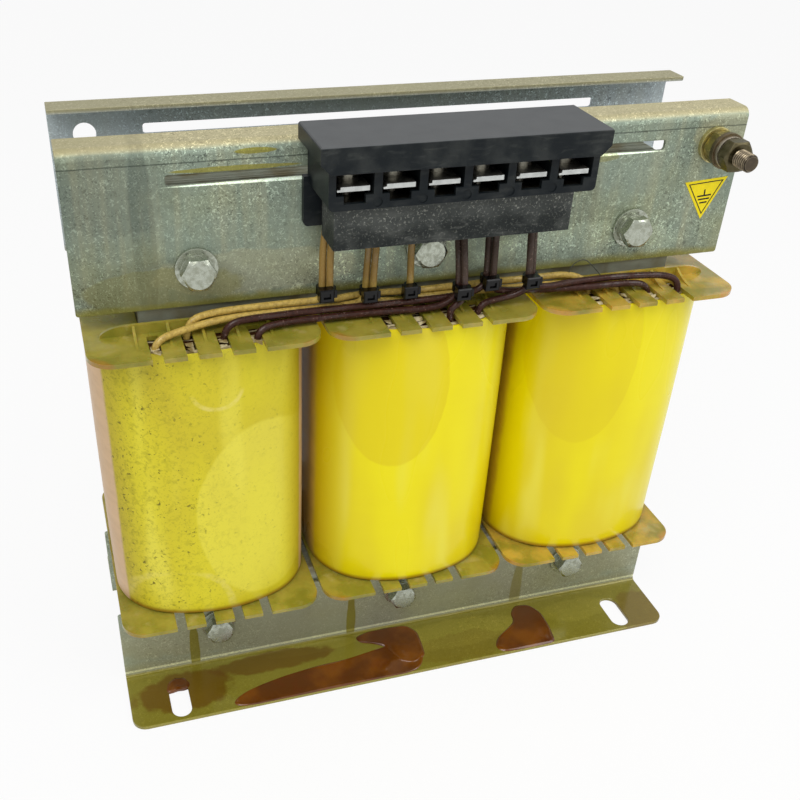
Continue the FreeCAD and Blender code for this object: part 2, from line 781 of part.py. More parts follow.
def block_fixings():
    """Save the screws and washers that hold the block through the long slot."""
    screws = []
    washers = []
    back = -core_face
    for x in (divider_places[0], divider_places[-1]):
        a = back + fixing_washer_thickness
        washers.append(ring_y(x, block_screw_z, back, a, fixing_screw_radius + screw_clearance,
                              fixing_washer_radius))
        head = rod_y(x, block_screw_z, a, a + fixing_head_height, fixing_head_radius)
        shank = rod_y(x, block_screw_z, -web_face - fixing_thread_length, a, fixing_screw_radius)
        end = a + fixing_head_height
        half = fixing_recess_width / 2
        recess = box(x - fixing_head_radius, x + fixing_head_radius, end - fixing_recess_depth, end,
                     block_screw_z - half, block_screw_z + half)
        screws.append(fuse_all([head, shank]).cut(recess))
    save("block_fixing_screws", Part.makeCompound(screws))
    save("block_fixing_washers", Part.makeCompound(washers))


# Earth stud and its mark

def earth_parts():
    """Save the threaded earth stud with nuts, flat washers and a spring washer."""
    x = earth_hole_x
    z = earth_z
    bore = bolt_radius + washer_bore_clearance
    face = -web_face
    a = face - stud_washer_thickness
    b = a - bolt_nut_height
    c = b - stud_washer_thickness
    d = c - spring_washer_thickness
    e = d - bolt_nut_height
    back = -core_face
    back_end = back + stud_washer_thickness + stud_back_nut_height
    tip = face - stud_tip_from_web
    free_end = rod_y(x, z, tip, e, bolt_radius)
    rim = [edge for edge in free_end.Edges if edge.Closed and abs(edge.CenterOfMass.y - tip) < 0.01]
    free_end = free_end.makeChamfer(stud_chamfer, rim[:1])
    held = rod_y(x, z, e, back_end + stud_back_end, thread_pitch_radius)
    save("earth_stud", fuse_all([free_end, held]))
    nuts = []
    for y0, y1 in ((b, a), (e, d)):
        nut = hexagon(x, z, y0, y1, bolt_across_flats, True, True)
        nuts.append(nut.cut(rod_y(x, z, y0, y1, thread_pitch_radius)))
    y0 = back + stud_washer_thickness
    rear_nut = hexagon(x, z, y0, back_end, bolt_across_flats, False, True)
    nuts.append(rear_nut.cut(rod_y(x, z, y0, back_end, thread_pitch_radius)))
    save("earth_nuts", Part.makeCompound(nuts))
    rings = [ring_y(x, z, a, face, bore, stud_washer_radius), ring_y(x, z, c, b, bore, stud_washer_radius),
             ring_y(x, z, back, y0, bore, stud_washer_radius)]
    save("earth_flat_washers", Part.makeCompound(rings))
    save("earth_spring_washer", spring_ring(x, z, d, c, bore, stud_lock_radius))


def earth_label():
    """Three-cornered mark below the earth stud, point down."""
    top = earth_z - label_top_below_stud
    label_x = earth_hole_x + label_beyond_stud
    half = label_width / 2
    points = [Vec(label_x - half, -web_face, top), Vec(label_x + half, -web_face, top),
              Vec(label_x, -web_face, top - label_height)]
    mark = prism(points, Vec(0, -label_thickness, 0))
    mark.rotate(Vec(label_x, 0, top - label_height / 2), Vec(0, -1, 0), label_turn)
    return mark


# Leads and cable ties

def unit(a, b):
    """Unit vector from a to b."""
    step = b.sub(a)
    return step.multiply(1 / step.Length)


def lead(name, points):
    """Round lead along straight runs that are joined by tangent arcs."""
    route = [Vec(x, y, window_top + height) for x, y, height in points]
    edges = []
    at = route[0]
    radii = []
    length = 0.0
    for before, corner, after in zip(route, route[1:], route[2:]):
        into = unit(before, corner)
        out = unit(corner, after)
        turn = into.getAngle(out)
        run = min((corner - before).Length, (after - corner).Length)
        radius = arc_share * run / math.tan(turn / 2)
        back = arc_share * run
        start = corner - into * back
        end = corner + out * back
        bisector = out - into
        centre = corner + bisector * (radius / math.cos(turn / 2) / bisector.Length)
        middle = centre + (corner - centre) * (radius / (corner - centre).Length)
        edges.append(Part.LineSegment(at, start).toShape())
        edges.append(Part.Arc(start, middle, end).toShape())
        at = end
        radii.append(round(radius, 1))
        length += radius * turn + (start - edges[-2].Vertexes[0].Point).Length
    edges.append(Part.LineSegment(at, route[-1]).toShape())
    length += (route[-1] - at).Length
    path = Part.Wire(edges)
    circle = Part.Circle(route[0], unit(route[0], route[1]), lead_radius).toShape()
    tube = path.makePipeShell([Part.Wire([circle])], True, False)
    section = math.pi * lead_radius ** 2
    ratio = tube.Volume / (section * length)
    print(f"  {name}: length {length:.1f}, radii {radii}, volume ratio {ratio:.4f}")
    return tube


# Every height of a route and of a tie is above the top of the core windows. Lanes are the y and the
# height of a stretch along the coils. The risers go up behind the guard.
lane_low = (-41.8, 4.3)
lane_high = (-40.2, 7.0)
lane_brown_low = (-47.6, 2.0)
lane_brown_high = (-46.6, 5.0)
riser_y = -40.9
riser_end_y = -41.1
riser_run = 4.0
tie_approach = 4.8
lead_start = winding_top + lead_end_above_winding - window_top
lead_top = bar_bottom - window_top
guard_low = block_bottom - guard_drop - window_top
pair_offset = lead_radius + lead_pair_gap / 2

# Place of each tie: x, y and height of the pair's middle, then the turn of the pair about Z in degrees,
# then the x where the pair passes the lower edge of the guard.
ties = [
    (-46.9, -42.9, 13.0, -32.0, -46.3),
    (-27.5, -42.6, 10.4, -35.0, -26.1),
    (-9.3, -43.6, 10.4, None, -9.0),
    (11.8, -50.8, 11.2, 120.0, 13.4),
    (26.6, -46.8, 12.2, -48.0, 28.4),
    (44.4, -50.2, 12.6, 40.0, 47.2),
]


def riser(number, side):
    """Points of one lead of a pair from its tie up to its terminal bar."""
    x, y, z, turn, x_guard = ties[number]
    reach = side * pair_offset
    dx, dy = [reach * f(math.radians(turn or 0.0)) for f in (math.cos, math.sin)]
    pole = pole_places[number] + dx
    return [
        (x + dx, y + dy, z - tie_approach),
        (x + dx, y + dy, z + tie_approach),
        (x_guard + dx, riser_y + dy, guard_low - riser_run),
        (pole, riser_end_y + dy, lead_top - riser_run),
        (pole, riser_end_y + dy, lead_top),
    ]


def slot_x(coil, number):
    """Middle of wire slot number 0 to 3 on one coil."""
    return limb_places[coil] + slot_offsets[number] * slot_spacing


def lead_routes():
    """Route of every lead, from its slot in a cheek to its terminal."""
    s = lead_start
    ay, az = lane_low
    by, bz = lane_high
    cy, cz = lane_brown_low
    dy, dz = lane_brown_high
    x1, x2, x3, x4 = [slot_x("left", n) for n in range(4)]
    routes = {
        "ochre_lead_1": [
            (x1, -50.0, s), (x1 + 0.6, -49.6, 1.6), (x1 + 13, -46.2, 3.4), (x1 + 30, ay, az),
            (-66, ay, az + 0.2), (-36, ay - 0.3, az)] + riser(1, -1),
        "ochre_lead_2": [
            (x2, -43.2, s), (x2 + 0.5, -42.9, 4.8), (x2 + 10, -40.6, bz), (-72, by, bz + 0.3),
            (-55, by - 0.4, bz + 0.4)] + riser(0, -1),
        "brown_lead_1": [
            (x4 + 0.5, -50.6, s), (x4 + 1.2, -50.2, 1.8), (x4 + 11, cy - 0.4, cz + 0.6),
            (-44, cy + 0.1, cz + 0.5), (-16, cy, cz), (1.5, -49.4, cz)] + riser(3, 1),
        "brown_lead_2": [
            (x3 + 0.8, -48.0, s), (x3 + 1.4, -48.2, 5.2), (x3 + 17, dy + 0.1, dz + 0.4),
            (-46, dy + 0.3, dz + 0.6), (-14, dy + 0.2, dz), (12, dy + 0.3, dz + 0.2)] + riser(4, -1),
    }
    x2, x3, x4 = [slot_x("centre", n) for n in range(1, 4)]
    routes["ochre_lead_4"] = [
        (x2, -43.2, s), (x2 - 1.5, -42.8, 2.6), (x2 - 10, ay - 0.2, az)] + riser(1, 1)
    routes["brown_lead_3"] = [
        (x3, -53.0, s), (x3 - 0.8, -53.4, 2.0), (x3 + 2.0, -53.6, 5.0)] + riser(3, -1)
    routes["brown_lead_4"] = [
        (x4, -50.4, s), (x4 + 0.8, -50.2, 2.2), (x4 + 10, -49.8, 3.4),
        (38, -50.6, 4.8)] + riser(5, -1)
    x1, x2, x3, x4 = [slot_x("right", n) for n in range(4)]
    routes["ochre_lead_3"] = [
        (x1, -43.2, s), (x1 - 0.5, -42.8, 3.2), (x1 - 9, by - 0.2, bz + 0.3), (50, by, bz),
        (20, by + 0.2, bz + 0.2), (-6, by, bz), (-20, by + 1.4, bz),
        (-34, by + 1.4, bz + 0.2)] + riser(0, 1)
    routes["ochre_lead_5"] = [
        (x2, -45.0, s), (x2 - 1, -45.0, 1.8), (x2 - 13, -46.1, 3.3), (x2 - 27, -43.2, az),
        (34, ay, az), (4, ay, az + 0.1)] + riser(2, 0)
    routes["brown_lead_5"] = [
        (x3, -49.0, s), (x3 - 1, -49.0, 2.4), (x3 - 14, -49.4, 4.2), (78, -49.5, 4.1),
        (62, -47.8, 3.9), (48, -47.1, 4.8), (37, -46.8, 5.3)] + riser(4, 1)
    routes["brown_lead_6"] = [
        (x4, -51.4, s), (x4 + 0.6, -51.2, 2.6), (x4 - 6, -49.2, 6.0), (x4 - 24, -47.1, 6.4),
        (78, -47.0, 6.6), (64, -48.4, 6.9), (54, -49.6, 6.6)] + riser(5, 1)
    return routes


def stadium(half_length, radius, z0, z1):
    """Upright prism with two straight sides and two round ends along X."""
    ends = [rod_z(-half_length, 0, z0, z1, radius)]
    if half_length > 0:
        ends.append(rod_z(half_length, 0, z0, z1, radius))
        ends.append(box(-half_length, half_length, -radius, radius, z0, z1))
    return fuse_all(ends)


def cable_tie(number):
    """Strap round a pair of leads, closed by a square head towards the front."""
    x, y, height, turn, _ = ties[number]
    z = window_top + height
    half = 0.0 if turn is None else pair_offset
    inside = lead_radius + tie_clearance
    low = z - tie_width / 2
    high = z + tie_width / 2
    band = stadium(half, inside + tie_wall, low, high)
    bore = stadium(half, inside, low - tie_width, high + tie_width)
    for shape in (band, bore):
        shape.rotate(Vec(0, 0, 0), Vec(0, 0, 1), turn or 0.0)
    front = band.BoundBox.YMin + tie_wall
    head = box(tie_head_shift - tie_head_width / 2, tie_head_shift + tie_head_width / 2,
               front - tie_head_depth, front, z - tie_head_height / 2, z + tie_head_height / 2)
    edges = [e for e in head.Edges if abs(e.CenterOfMass.y - (front - tie_head_depth)) < 0.01]
    head = head.makeChamfer(tie_head_chamfer, edges)
    face = front - tie_head_depth
    mouth = box(tie_head_shift - tie_head_width / 4, tie_head_shift + tie_head_width / 4,
                face, face + tie_mouth_depth, z - tie_mouth_height / 2, z + tie_mouth_height / 2)
    side = tie_head_shift + tie_head_width / 2
    tail = box(side - tie_wall, side + tie_tail, face + tie_tail_setback,
               face + tie_tail_setback + tie_wall, low, high)
    tie = fuse_all([band, head.cut(mouth), tail]).cut(bore)
    tie.translate(Vec(x, y, 0))
    return tie


def main():
    """Build and save every sub-part."""
    e_packets, i_packets = core_packets()
    save("core_e_laminations", e_packets)
    save("core_i_laminations", i_packets)
    front, rear = place_twice(upper_clamp())
    save("upper_clamp_front", front)
    save("upper_clamp_rear", rear)
    front, rear = place_twice(lower_clamp())
    save("lower_clamp_front", front)
    save("lower_clamp_rear", rear)
    yoke_fasteners()
    reel = bobbin()
    for name, x in limb_places.items():
        save("bobbin_" + name, reel.translated(Vec(x, 0, 0)))
        for layer, ring in coil_layers(name).items():
            save(layer + "_" + name, ring.translated(Vec(x, 0, 0)))
    save("terminal_block_body", block_body())
    save("terminal_block_cap", block_cap())
    save("terminal_lead_guard", lead_guard())
    terminal_metal()
    block_fixings()
    earth_parts()
    save("earth_label", earth_label())
    for name, points in lead_routes().items():
        save(name, lead(name, points))
    save("cable_ties", Part.makeCompound([cable_tie(n) for n in range(len(ties))]))


main()
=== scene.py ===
"""Looks of a three-phase dry-type transformer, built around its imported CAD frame.

Lengths in this file are millimetres, and the meshes are scaled to metres when they are placed.
+X runs along the three coils, -Y points to the terminal side and +Z up.
"""

import logging
import math
from dataclasses import dataclass, replace
from enum import Enum
from typing import ClassVar, Iterable, Sequence

import bmesh
import bpy
import numpy as np
from mathutils import Matrix, Vector
from mathutils.geometry import delaunay_2d_cdt

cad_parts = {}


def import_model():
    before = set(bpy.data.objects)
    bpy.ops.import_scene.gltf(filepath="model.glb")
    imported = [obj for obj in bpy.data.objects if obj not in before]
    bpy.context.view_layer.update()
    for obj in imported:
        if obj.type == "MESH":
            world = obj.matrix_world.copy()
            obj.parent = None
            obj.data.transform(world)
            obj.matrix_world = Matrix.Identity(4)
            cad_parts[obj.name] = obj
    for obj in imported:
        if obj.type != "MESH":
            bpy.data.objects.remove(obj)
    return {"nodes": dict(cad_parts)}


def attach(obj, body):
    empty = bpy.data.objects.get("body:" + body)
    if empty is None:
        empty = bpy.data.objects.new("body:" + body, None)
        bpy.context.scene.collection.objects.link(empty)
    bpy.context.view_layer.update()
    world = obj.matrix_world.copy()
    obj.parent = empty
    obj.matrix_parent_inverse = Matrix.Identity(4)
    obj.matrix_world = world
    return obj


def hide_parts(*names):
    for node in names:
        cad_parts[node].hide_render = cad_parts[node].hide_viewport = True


LOG = logging.getLogger("transformer")
MM = 0.001
Colour = tuple[float, float, float]
Point = tuple[float, float, float]
Array = np.ndarray
LEFT, CENTRE, RIGHT = COIL_MIDDLES = (-100.0, 0.0, 100.0)
EARTH = (135.0, 265.0)
SLOT_PITCH = 14.0
SLOT_OFFSETS = (-1.5, -0.5, 0.5, 1.5)


def linear(code: str) -> Colour:
    """Turn a six-figure sRGB code without a leading mark into linear red, green and blue from 0 to 1."""
    parts = [int(code[i:i + 2], 16) / 255 for i in (0, 2, 4)]
    return tuple(c / 12.92 if c <= 0.04045 else ((c + 0.055) / 1.055) ** 2.4 for c in parts)


class Field:
    """A number that varies over a surface. Python's operators on it add Math nodes."""

    def __init__(self, tree: "Tree", socket: bpy.types.NodeSocket) -> None:
        """Wrap an output socket of a node tree."""
        self.tree = tree
        self.socket = socket

    def _math(self, operation: str, first: object, second: object = 0.0) -> "Field":
        """Add a Math node that takes a number or field for each socket."""
        node = self.tree.node("ShaderNodeMath", {"operation": operation}, {0: first, 1: second})
        return Field(self.tree, node.outputs[0])

    def __add__(self, other: object) -> "Field":
        """Sum."""
        return self._math("ADD", self, other)

    def __sub__(self, other: object) -> "Field":
        """Difference with the field first."""
        return self._math("SUBTRACT", self, other)

    def __rsub__(self, other: object) -> "Field":
        """Difference with the field last."""
        return self._math("SUBTRACT", other, self)

    def __mul__(self, other: object) -> "Field":
        """Product."""
        return self._math("MULTIPLY", self, other)

    def __truediv__(self, other: object) -> "Field":
        """Quotient."""
        return self._math("DIVIDE", self, other)

    def __pow__(self, other: object) -> "Field":
        """Power."""
        return self._math("POWER", self, other)

    __radd__ = __add__
    __rmul__ = __mul__

    def absolute(self) -> "Field":
        """Size without its sign."""
        return self._math("ABSOLUTE", self)

    def sine(self) -> "Field":
        """Sine of the field in radians."""
        return self._math("SINE", self)

    def least(self, other: object) -> "Field":
        """Smaller of the two."""
        return self._math("MINIMUM", self, other)

    def most(self, other: object) -> "Field":
        """Larger of the two."""
        return self._math("MAXIMUM", self, other)

    def rise(self, low: float, high: float) -> "Field":
        """Smooth step from 0 at low to 1 at high, which may also be the smaller of the two.

        Args:
            low: Value where the step starts.
            high: Value where the step ends.

        Returns:
            A field from 0 to 1.
        """
        node = self.tree.node("ShaderNodeMapRange", {"interpolation_type": "SMOOTHSTEP"},
                              {"Value": self, "From Min": low, "From Max": high})
        return Field(self.tree, node.outputs[0])


class Tree:
    """Node tree of a material or of the world."""

    def __init__(self, owner: bpy.types.ID) -> None:
        """Empty the owner's node tree.

        Args:
            owner: Material or world.
        """
        owner.use_nodes = True
        self.nodes = owner.node_tree.nodes
        self.links = owner.node_tree.links
        self.nodes.clear()

    def node(self, kind: str, settings: dict[str, object], values: dict[str | int, object]) -> bpy.types.Node:
        """Add a node of any type.

        Args:
            kind: Type name of the node.
            settings: Its properties.
            values: Its inputs by name or number: a field, a socket or a constant.

        Returns:
            The new node.
        """
        made = self.nodes.new(kind)
        for key, value in settings.items():
            setattr(made, key, value)
        for key, value in values.items():
            self.feed(made.inputs[key], value)
        return made

    def feed(self, socket: bpy.types.NodeSocket, value: object) -> None:
        """Link or set one input.

        Args:
            socket: The input.
            value: A field, a socket, a number or a colour.
        """
        if isinstance(value, Field):
            self.links.new(value.socket, socket)
        elif isinstance(value, bpy.types.NodeSocket):
            self.links.new(value, socket)
        elif isinstance(value, tuple) and socket.type == "RGBA":
            socket.default_value = (*value, 1.0)
        else:
            socket.default_value = value


class Shader(Tree):
    """Node tree of one finish."""

    def __init__(self, name: str) -> None:
        """Start a material with one surface shader.

        Args:
            name: Name of the material.
        """
        self.material = bpy.data.materials.new(name)
        super().__init__(self.material)
        self.surface = self.node("ShaderNodeBsdfPrincipled", {}, {})
        self.out = self.node("ShaderNodeOutputMaterial", {}, {"Surface": self.surface.outputs[0]})
        coords = self.node("ShaderNodeTexCoord", {}, {}).outputs["Object"]
        self.place = self.node("ShaderNodeVectorMath", {"operation": "SCALE"},
                               {0: coords, "Scale": 1 / MM}).outputs[0]
        split = self.node("ShaderNodeSeparateXYZ", {}, {0: self.place})
        self.x, self.y, self.z = (Field(self, split.outputs[i]) for i in range(3))

    def stretched(self, stretch: Point, shift: Point) -> bpy.types.NodeSocket:
        """Place on the piece in millimetres, times a factor for each axis and shifted, for a pattern."""
        return self.node("ShaderNodeVectorMath", {"operation": "MULTIPLY_ADD"},
                         {0: self.place, 1: stretch, 2: shift}).outputs[0]

    def noise(self, size: float, detail: float = 2.0, stretch: Point = (1, 1, 1),
              shift: Point = (0, 0, 0), twist: float = 0.0) -> Field:
        """Soft noise from 0 to 1.

        Args:
            size: Size of its patches in millimetres.
            detail: Octaves of finer noise.
            stretch: Factor along each axis.
            shift: Millimetres that move the pattern.
            twist: Amount by which the pattern is crinkled.

        Returns:
            The noise.
        """
        node = self.node("ShaderNodeTexNoise", {},
                         {"Vector": self.stretched(stretch, shift), "Scale": 1 / size, "Detail": detail,
                          "Distortion": twist})
        return Field(self, node.outputs["Fac"])

    def cells(self, size: float, output: str = "Color", stretch: Point = (1, 1, 1)) -> Field:
        """Cell pattern: one random number per cell, or the distance from the cell's middle.

        Args:
            size: Size of a cell in millimetres.
            output: Color for a random number, Distance for a distance.
            stretch: Factor along each axis.

        Returns:
            The pattern.
        """
        node = self.node("ShaderNodeTexVoronoi", {},
                         {"Vector": self.stretched(stretch, (0, 0, 0)), "Scale": 1 / size})
        if output == "Distance":
            return Field(self, node.outputs["Distance"])
        split = self.node("ShaderNodeSeparateColor", {}, {0: node.outputs["Color"]})
        return Field(self, split.outputs[0])

    def around(self, x: float, z: float) -> Field:
        """Distance from an axis along Y."""
        return ((self.x - x) ** 2.0 + (self.z - z) ** 2.0) ** 0.5

    def mix(self, mask: object, low: object, high: object) -> bpy.types.NodeSocket:
        """Blend two colours, the first where the mask is 0 and the second where it is 1."""
        return self.node("ShaderNodeMix", {"data_type": "RGBA"}, {0: mask, 6: low, 7: high}).outputs[2]

    def shade(self, colour: object, factor: object) -> bpy.types.NodeSocket:
        """Multiply a colour by a number or field, which may be over 1."""
        node = self.node("ShaderNodeVectorMath", {"operation": "SCALE"}, {0: colour, "Scale": factor})
        return node.outputs[0]

    def bump(self, height: Field, depth: float, strength: float = 1.0) -> None:
        """Let a height field shade the surface.

        Args:
            height: Field that rises by about 1.
            depth: Millimetres that a rise of 1 stands for.
            strength: Share of the effect that is kept.
        """
        node = self.node("ShaderNodeBump", {}, {"Height": height, "Distance": depth * MM,
                                                "Strength": strength})
        self.feed(self.surface.inputs["Normal"], node.outputs[0])

    def set(self, **values: object) -> None:
        """Set inputs of the surface shader by their names, with underscores for spaces."""
        for key, value in values.items():
            self.feed(self.surface.inputs[key.replace("_", " ")], value)


@dataclass(frozen=True)
class Stain:
    """A ragged-edged ellipse in two of the three axes: a run or pool of varnish, and also patches of painted
    highlight, shade and sheen.
    """

    middle: Point
    reach: Point
    amount: float = 1.0
    ragged: float = 1.2
    soft: float = 0.35
    rim: float = 0.975

    def mask(self, shader: Shader, waves: Field) -> Field:
        """Work out where the stain lies: one less the distance in reaches, made ragged by noise.

        Args:
            shader: Node tree to add to.
            waves: Noise from 0 to 1 that all stains of a finish share.

        Returns:
            A field from 0 outside to the amount inside.
        """
        total: object = 0.0
        for axis, middle, reach in zip((shader.x, shader.y, shader.z), self.middle, self.reach):
            if reach > 0:
                total = ((axis - middle) / reach) ** 2.0 + total
        ragged = total + (waves - 0.5) * self.ragged
        return ragged.rise(self.rim + self.soft / 2, self.rim - self.soft / 2) * self.amount


@dataclass(frozen=True)
class Ring:
    """Faint curved scuff: a part of a ring across X and Z that fades out in patches."""

    x: float
    z: float
    radius: float
    width: float
    low: float
    high: float
    amount: float = 0.5
    wander: float = 2.0
    fade: float = 1.5

    def mask(self, shader: Shader, waves: Field) -> Field:
        """Work out where the scuff lies.

        Args:
            shader: Node tree to add to.
            waves: Noise from 0 to 1 that all scuffs of a finish share.

        Returns:
            A field from 0 outside to the amount inside.
        """
        off = (shader.around(self.x, self.z) - self.radius + (waves - 0.5) * self.wander).absolute()
        line = off.rise(self.width, self.width * 0.3)
        part = (shader.z.rise(self.low - self.fade, self.low + self.fade)
                * shader.z.rise(self.high + self.fade, self.high - self.fade))
        side = (shader.x - self.x).rise(-self.radius - 3.0, -self.radius + 4.0)
        return line * part * side * (0.4 + shader.noise(2.5, 4.0).rise(0.35, 0.65) * 0.6) * self.amount


@dataclass(frozen=True)
class Band:
    """A mask over all that lies past a line across one axis, with a wavy edge: varnish, and also painted shade."""

    axis: str
    start: float
    full: float
    amount: float = 1.0
    wave: float = 0.0

    def mask(self, shader: Shader, waves: Field) -> Field:
        """Work out where the band lies, from 0 outside to the amount inside, its edge moved by the noise."""
        along = getattr(shader, self.axis) + (waves - 0.5) * self.wave
        return along.rise(self.start, self.full) * self.amount


@dataclass(frozen=True)
class Finish:
    """Common ground of the finishes: a name and the material made on first use."""

    name: str

    def material(self) -> bpy.types.Material:
        """Look up the finish's material, or make it on first use.

        Returns:
            The material.
        """
        found = bpy.data.materials.get(f"look_{self.name}")
        if found is None:
            shader = Shader(f"look_{self.name}")
            self.dress(shader)
            found = shader.material
        return found

    def dress(self, shader: Shader) -> None:
        """Add the finish's own nodes."""
        raise NotImplementedError


@dataclass(frozen=True)
class GalvanisedSheet(Finish):
    """Zinc-coated sheet: crinkled flecks of a millimetre or two under a film of dried varnish."""

    zinc: Colour = linear("8b9888")
    varnish: Colour = linear("8d8326")
    thin: Colour = linear("a7a07c")
    fleck: float = 1.5
    contrast: float = 1.0
    haze: float = 0.25
    line: float = 0.0
    metal: float = 0.35
    deep: Colour = linear("6b4a08")
    drawn: Colour = linear("2c332c")
    films: tuple[Band | Stain, ...] = ()
    tints: tuple[Band | Stain, ...] = ()
    deeps: tuple[Band | Stain, ...] = ()
    # Painted light and shade: patches that scale the level, darker where the amount is positive and brighter where
    # it is negative.
    painted_shading: tuple[Band | Stain, ...] = ()
    gloss: float = 0.30

    def dress(self, shader: Shader) -> None:
        """Pale and dark flecks, slow patches, run marks down the web, painted highlights and shade, thin tan and
        thick olive varnish.

        Args:
            shader: Node tree to add to.
        """
        flecks = shader.noise(self.fleck, 4.0, twist=1.8)
        bright = flecks.rise(0.54, 0.66)
        dark = shader.noise(self.fleck * 0.9, 3.0, shift=(17, 5, 9), twist=1.4).rise(0.46, 0.34)
        broad = shader.noise(30.0, 3.0)
        runs = shader.noise(7.0, 3.0, stretch=(1.0, 1.0, 0.06))
        calm = shader.noise(45.0, 1.0, shift=(3, 40, 11)).rise(0.35, 0.62) * 0.6 + 0.4
        streaks = shader.noise(3.0, 3.0, stretch=(0.05, 1.0, 1.0), shift=(6, 6, 60))
        level = (0.70 + (bright * 1.15 - dark * 0.55) * calm * self.contrast + broad * 0.28 + runs * 0.14
                 + streaks * 0.14)
        waves = shader.noise(8.0, 4.0, shift=(31, 7, 3))
        # Painted light and shade: each patch darkens the level, or brightens it where its amount is negative.
        for part in self.painted_shading:
            level = level * (1.0 - part.mask(shader, waves))
        film, tint = broad.rise(0.42, 0.80) * self.haze, runs.rise(0.40, 0.75) * self.haze
        for part in self.films:
            film = part.mask(shader, waves).most(film)
        for part in self.tints:
            tint = part.mask(shader, waves).most(tint)
        base = shader.mix(tint, shader.shade(self.zinc, level), shader.shade(self.thin, 0.35 + level * 0.65))
        base = shader.mix(film, base, shader.shade(self.varnish, 0.62 + level * 0.38))
        for part in self.deeps:
            base = shader.mix(part.mask(shader, waves), base, shader.shade(self.deep, 0.75 + broad * 0.5))
        if self.line:
            mark = (shader.z + (waves - 0.5) * 0.3 - self.line).absolute().rise(0.42, 0.12)
            base = shader.mix(mark * (0.35 + broad * 0.6), base, self.drawn)
        shader.set(Base_Color=base, Metallic=self.metal * (1.0 - film * 0.7),
                   Roughness=(0.52 - bright * 0.14 + dark * 0.08) * (1.0 - film * self.gloss),
                   Coat_Weight=film * 0.45, Coat_Roughness=0.10, Specular_IOR_Level=0.35)
        shader.bump(flecks * 0.7 * (1.0 - film * 0.6) + waves * film * 1.2, 0.14, 0.7)


@dataclass(frozen=True)
class CoreSteel(Finish):
    """Edges of varnished laminations."""

    steel: Colour = linear("a6aa98")
    rust: Colour = linear("71633a")

    def dress(self, shader: Shader) -> None:
        """Dark steel with one shade a sheet, painted glints and a brown varnish in patches.

        Args:
            shader: Node tree to add to.
        """
        patches = shader.noise(16.0, 4.0)
        sheets = shader.cells(0.5, stretch=(0.004, 1.0, 0.004))
        glints = shader.noise(1.8, 3.0, stretch=(0.25, 2.0, 0.6))
        # Painted glints brighten the steel in fine streaks.
        base = shader.shade(self.steel, 0.45 + sheets * 0.40 + glints * 0.35)
        shader.set(Base_Color=shader.mix(patches.rise(0.42, 0.68) * 0.75, base, self.rust),
                   Metallic=0.35, Roughness=0.34 + patches * 0.25)
        shader.bump(glints + patches, 0.06, 0.6)


@dataclass(frozen=True)
class CoilFilm(Finish):
    """Yellow polyester film round a coil, clear and glossy or dulled by dust specks."""

    film: Colour = linear("f6e802")
    warm: Colour = linear("dfc400")
    # Painted grazing reflection on the flat sides.
    side: Colour = linear("d0ae88")
    # Painted reflection: pale streaks and sheens.
    pale: Colour = linear("f4ea58")
    speck: Colour = linear("6b640e")
    edge: Colour = linear("8d5a10")
    scuffed: Colour = linear("efe08a")
    specks: float = 0.0
    gloss: float = 0.24
    middle: float = CENTRE
    flat_from: float = 46.2
    # Share of painted shade on the rounded sides.
    turned: float = 0.6
    lobes: tuple[Stain, ...] = ()
    # Patches of painted sheen.
    sheens: tuple[Stain, ...] = ()
    scuffs: tuple[Ring, ...] = ()

    def dress(self, shader: Shader) -> None:
        """Lemon film with warm zones, painted pale reflections, painted shade on the rounded sides, a painted
        pink-beige reflection on the flat sides and an amber lower edge.

        Args:
            shader: Node tree to add to.
        """
        across = (shader.x - self.middle).absolute()
        broad = shader.noise(40.0, 2.0, stretch=(1.0, 0.6, 0.30))
        bands = shader.noise(6.0, 2.0, stretch=(0.15, 0.15, 1.0))
        waves = shader.noise(11.0, 3.0, shift=(5, 3, 1))
        base = shader.mix(broad.rise(0.40, 0.70) * 0.55 + bands * 0.08, self.film, self.warm)
        # Tall pale zones: painted reflection streaks.
        base = shader.mix(shader.noise(26.0, 2.0, stretch=(1, 1, 0.2), shift=(9, 2, 4)).rise(0.52, 0.70) * 0.6,
                          base, self.pale)
        # Warm lobes, and pale sheens that are painted reflections.
        for patches, tone in ((self.lobes, self.warm), (self.sheens, self.pale)):
            for patch in patches:
                base = shader.mix(patch.mask(shader, waves), base, tone)
        # Painted shade: darker towards the rounded sides, which turn away from the light.
        round_side_shade = across.rise(30.0, 46.0)
        base = shader.mix(round_side_shade * self.turned, base, shader.shade(self.warm, 0.86))
        dull: object = self.gloss + broad * 0.08
        if self.specks:
            left = (shader.x - self.middle).rise(22.0, -44.0)
            dots = shader.noise(1.7, 2.0, shift=(3, 3, 3), twist=0.3).rise(0.61, 0.68) * shader.noise(
                9.0, 3.0).rise(0.44, 0.60)
            fine = shader.noise(0.9, 3.0).rise(0.56, 0.68)
            mottle = shader.noise(3.2, 4.0, twist=0.8).rise(0.48, 0.70)
            worn = (dots * 0.95 + fine * 0.30 + mottle * 0.26) * (0.20 + left * 0.9) * self.specks
            base = shader.mix(worn.least(0.88), base, self.speck)
            dull = dull + left * 0.12 + mottle * 0.06
        for scuff in self.scuffs:
            base = shader.mix(scuff.mask(shader, waves), base, self.scuffed)
        low = (shader.z + bands * 0.8).rise(60.5, 57.6)
        base = shader.mix(low * 0.8, base, self.edge)
        # Painted reflection: a pink-beige tone on the flat sides between the coils, seen at a grazing angle.
        flat = (across + (waves - 0.5) * 0.8).rise(self.flat_from, self.flat_from + 1.2)
        base = shader.mix(flat * 0.85, base, shader.shade(self.side, 0.8 + bands * 0.35))
        shader.set(Base_Color=base, Roughness=dull, Coat_Weight=broad.rise(0.45, 0.7) * 0.22, Coat_Roughness=0.08,
                   Specular_IOR_Level=0.28)
        shader.bump(broad * 2.4 + bands * 0.14, 0.5, 0.35)


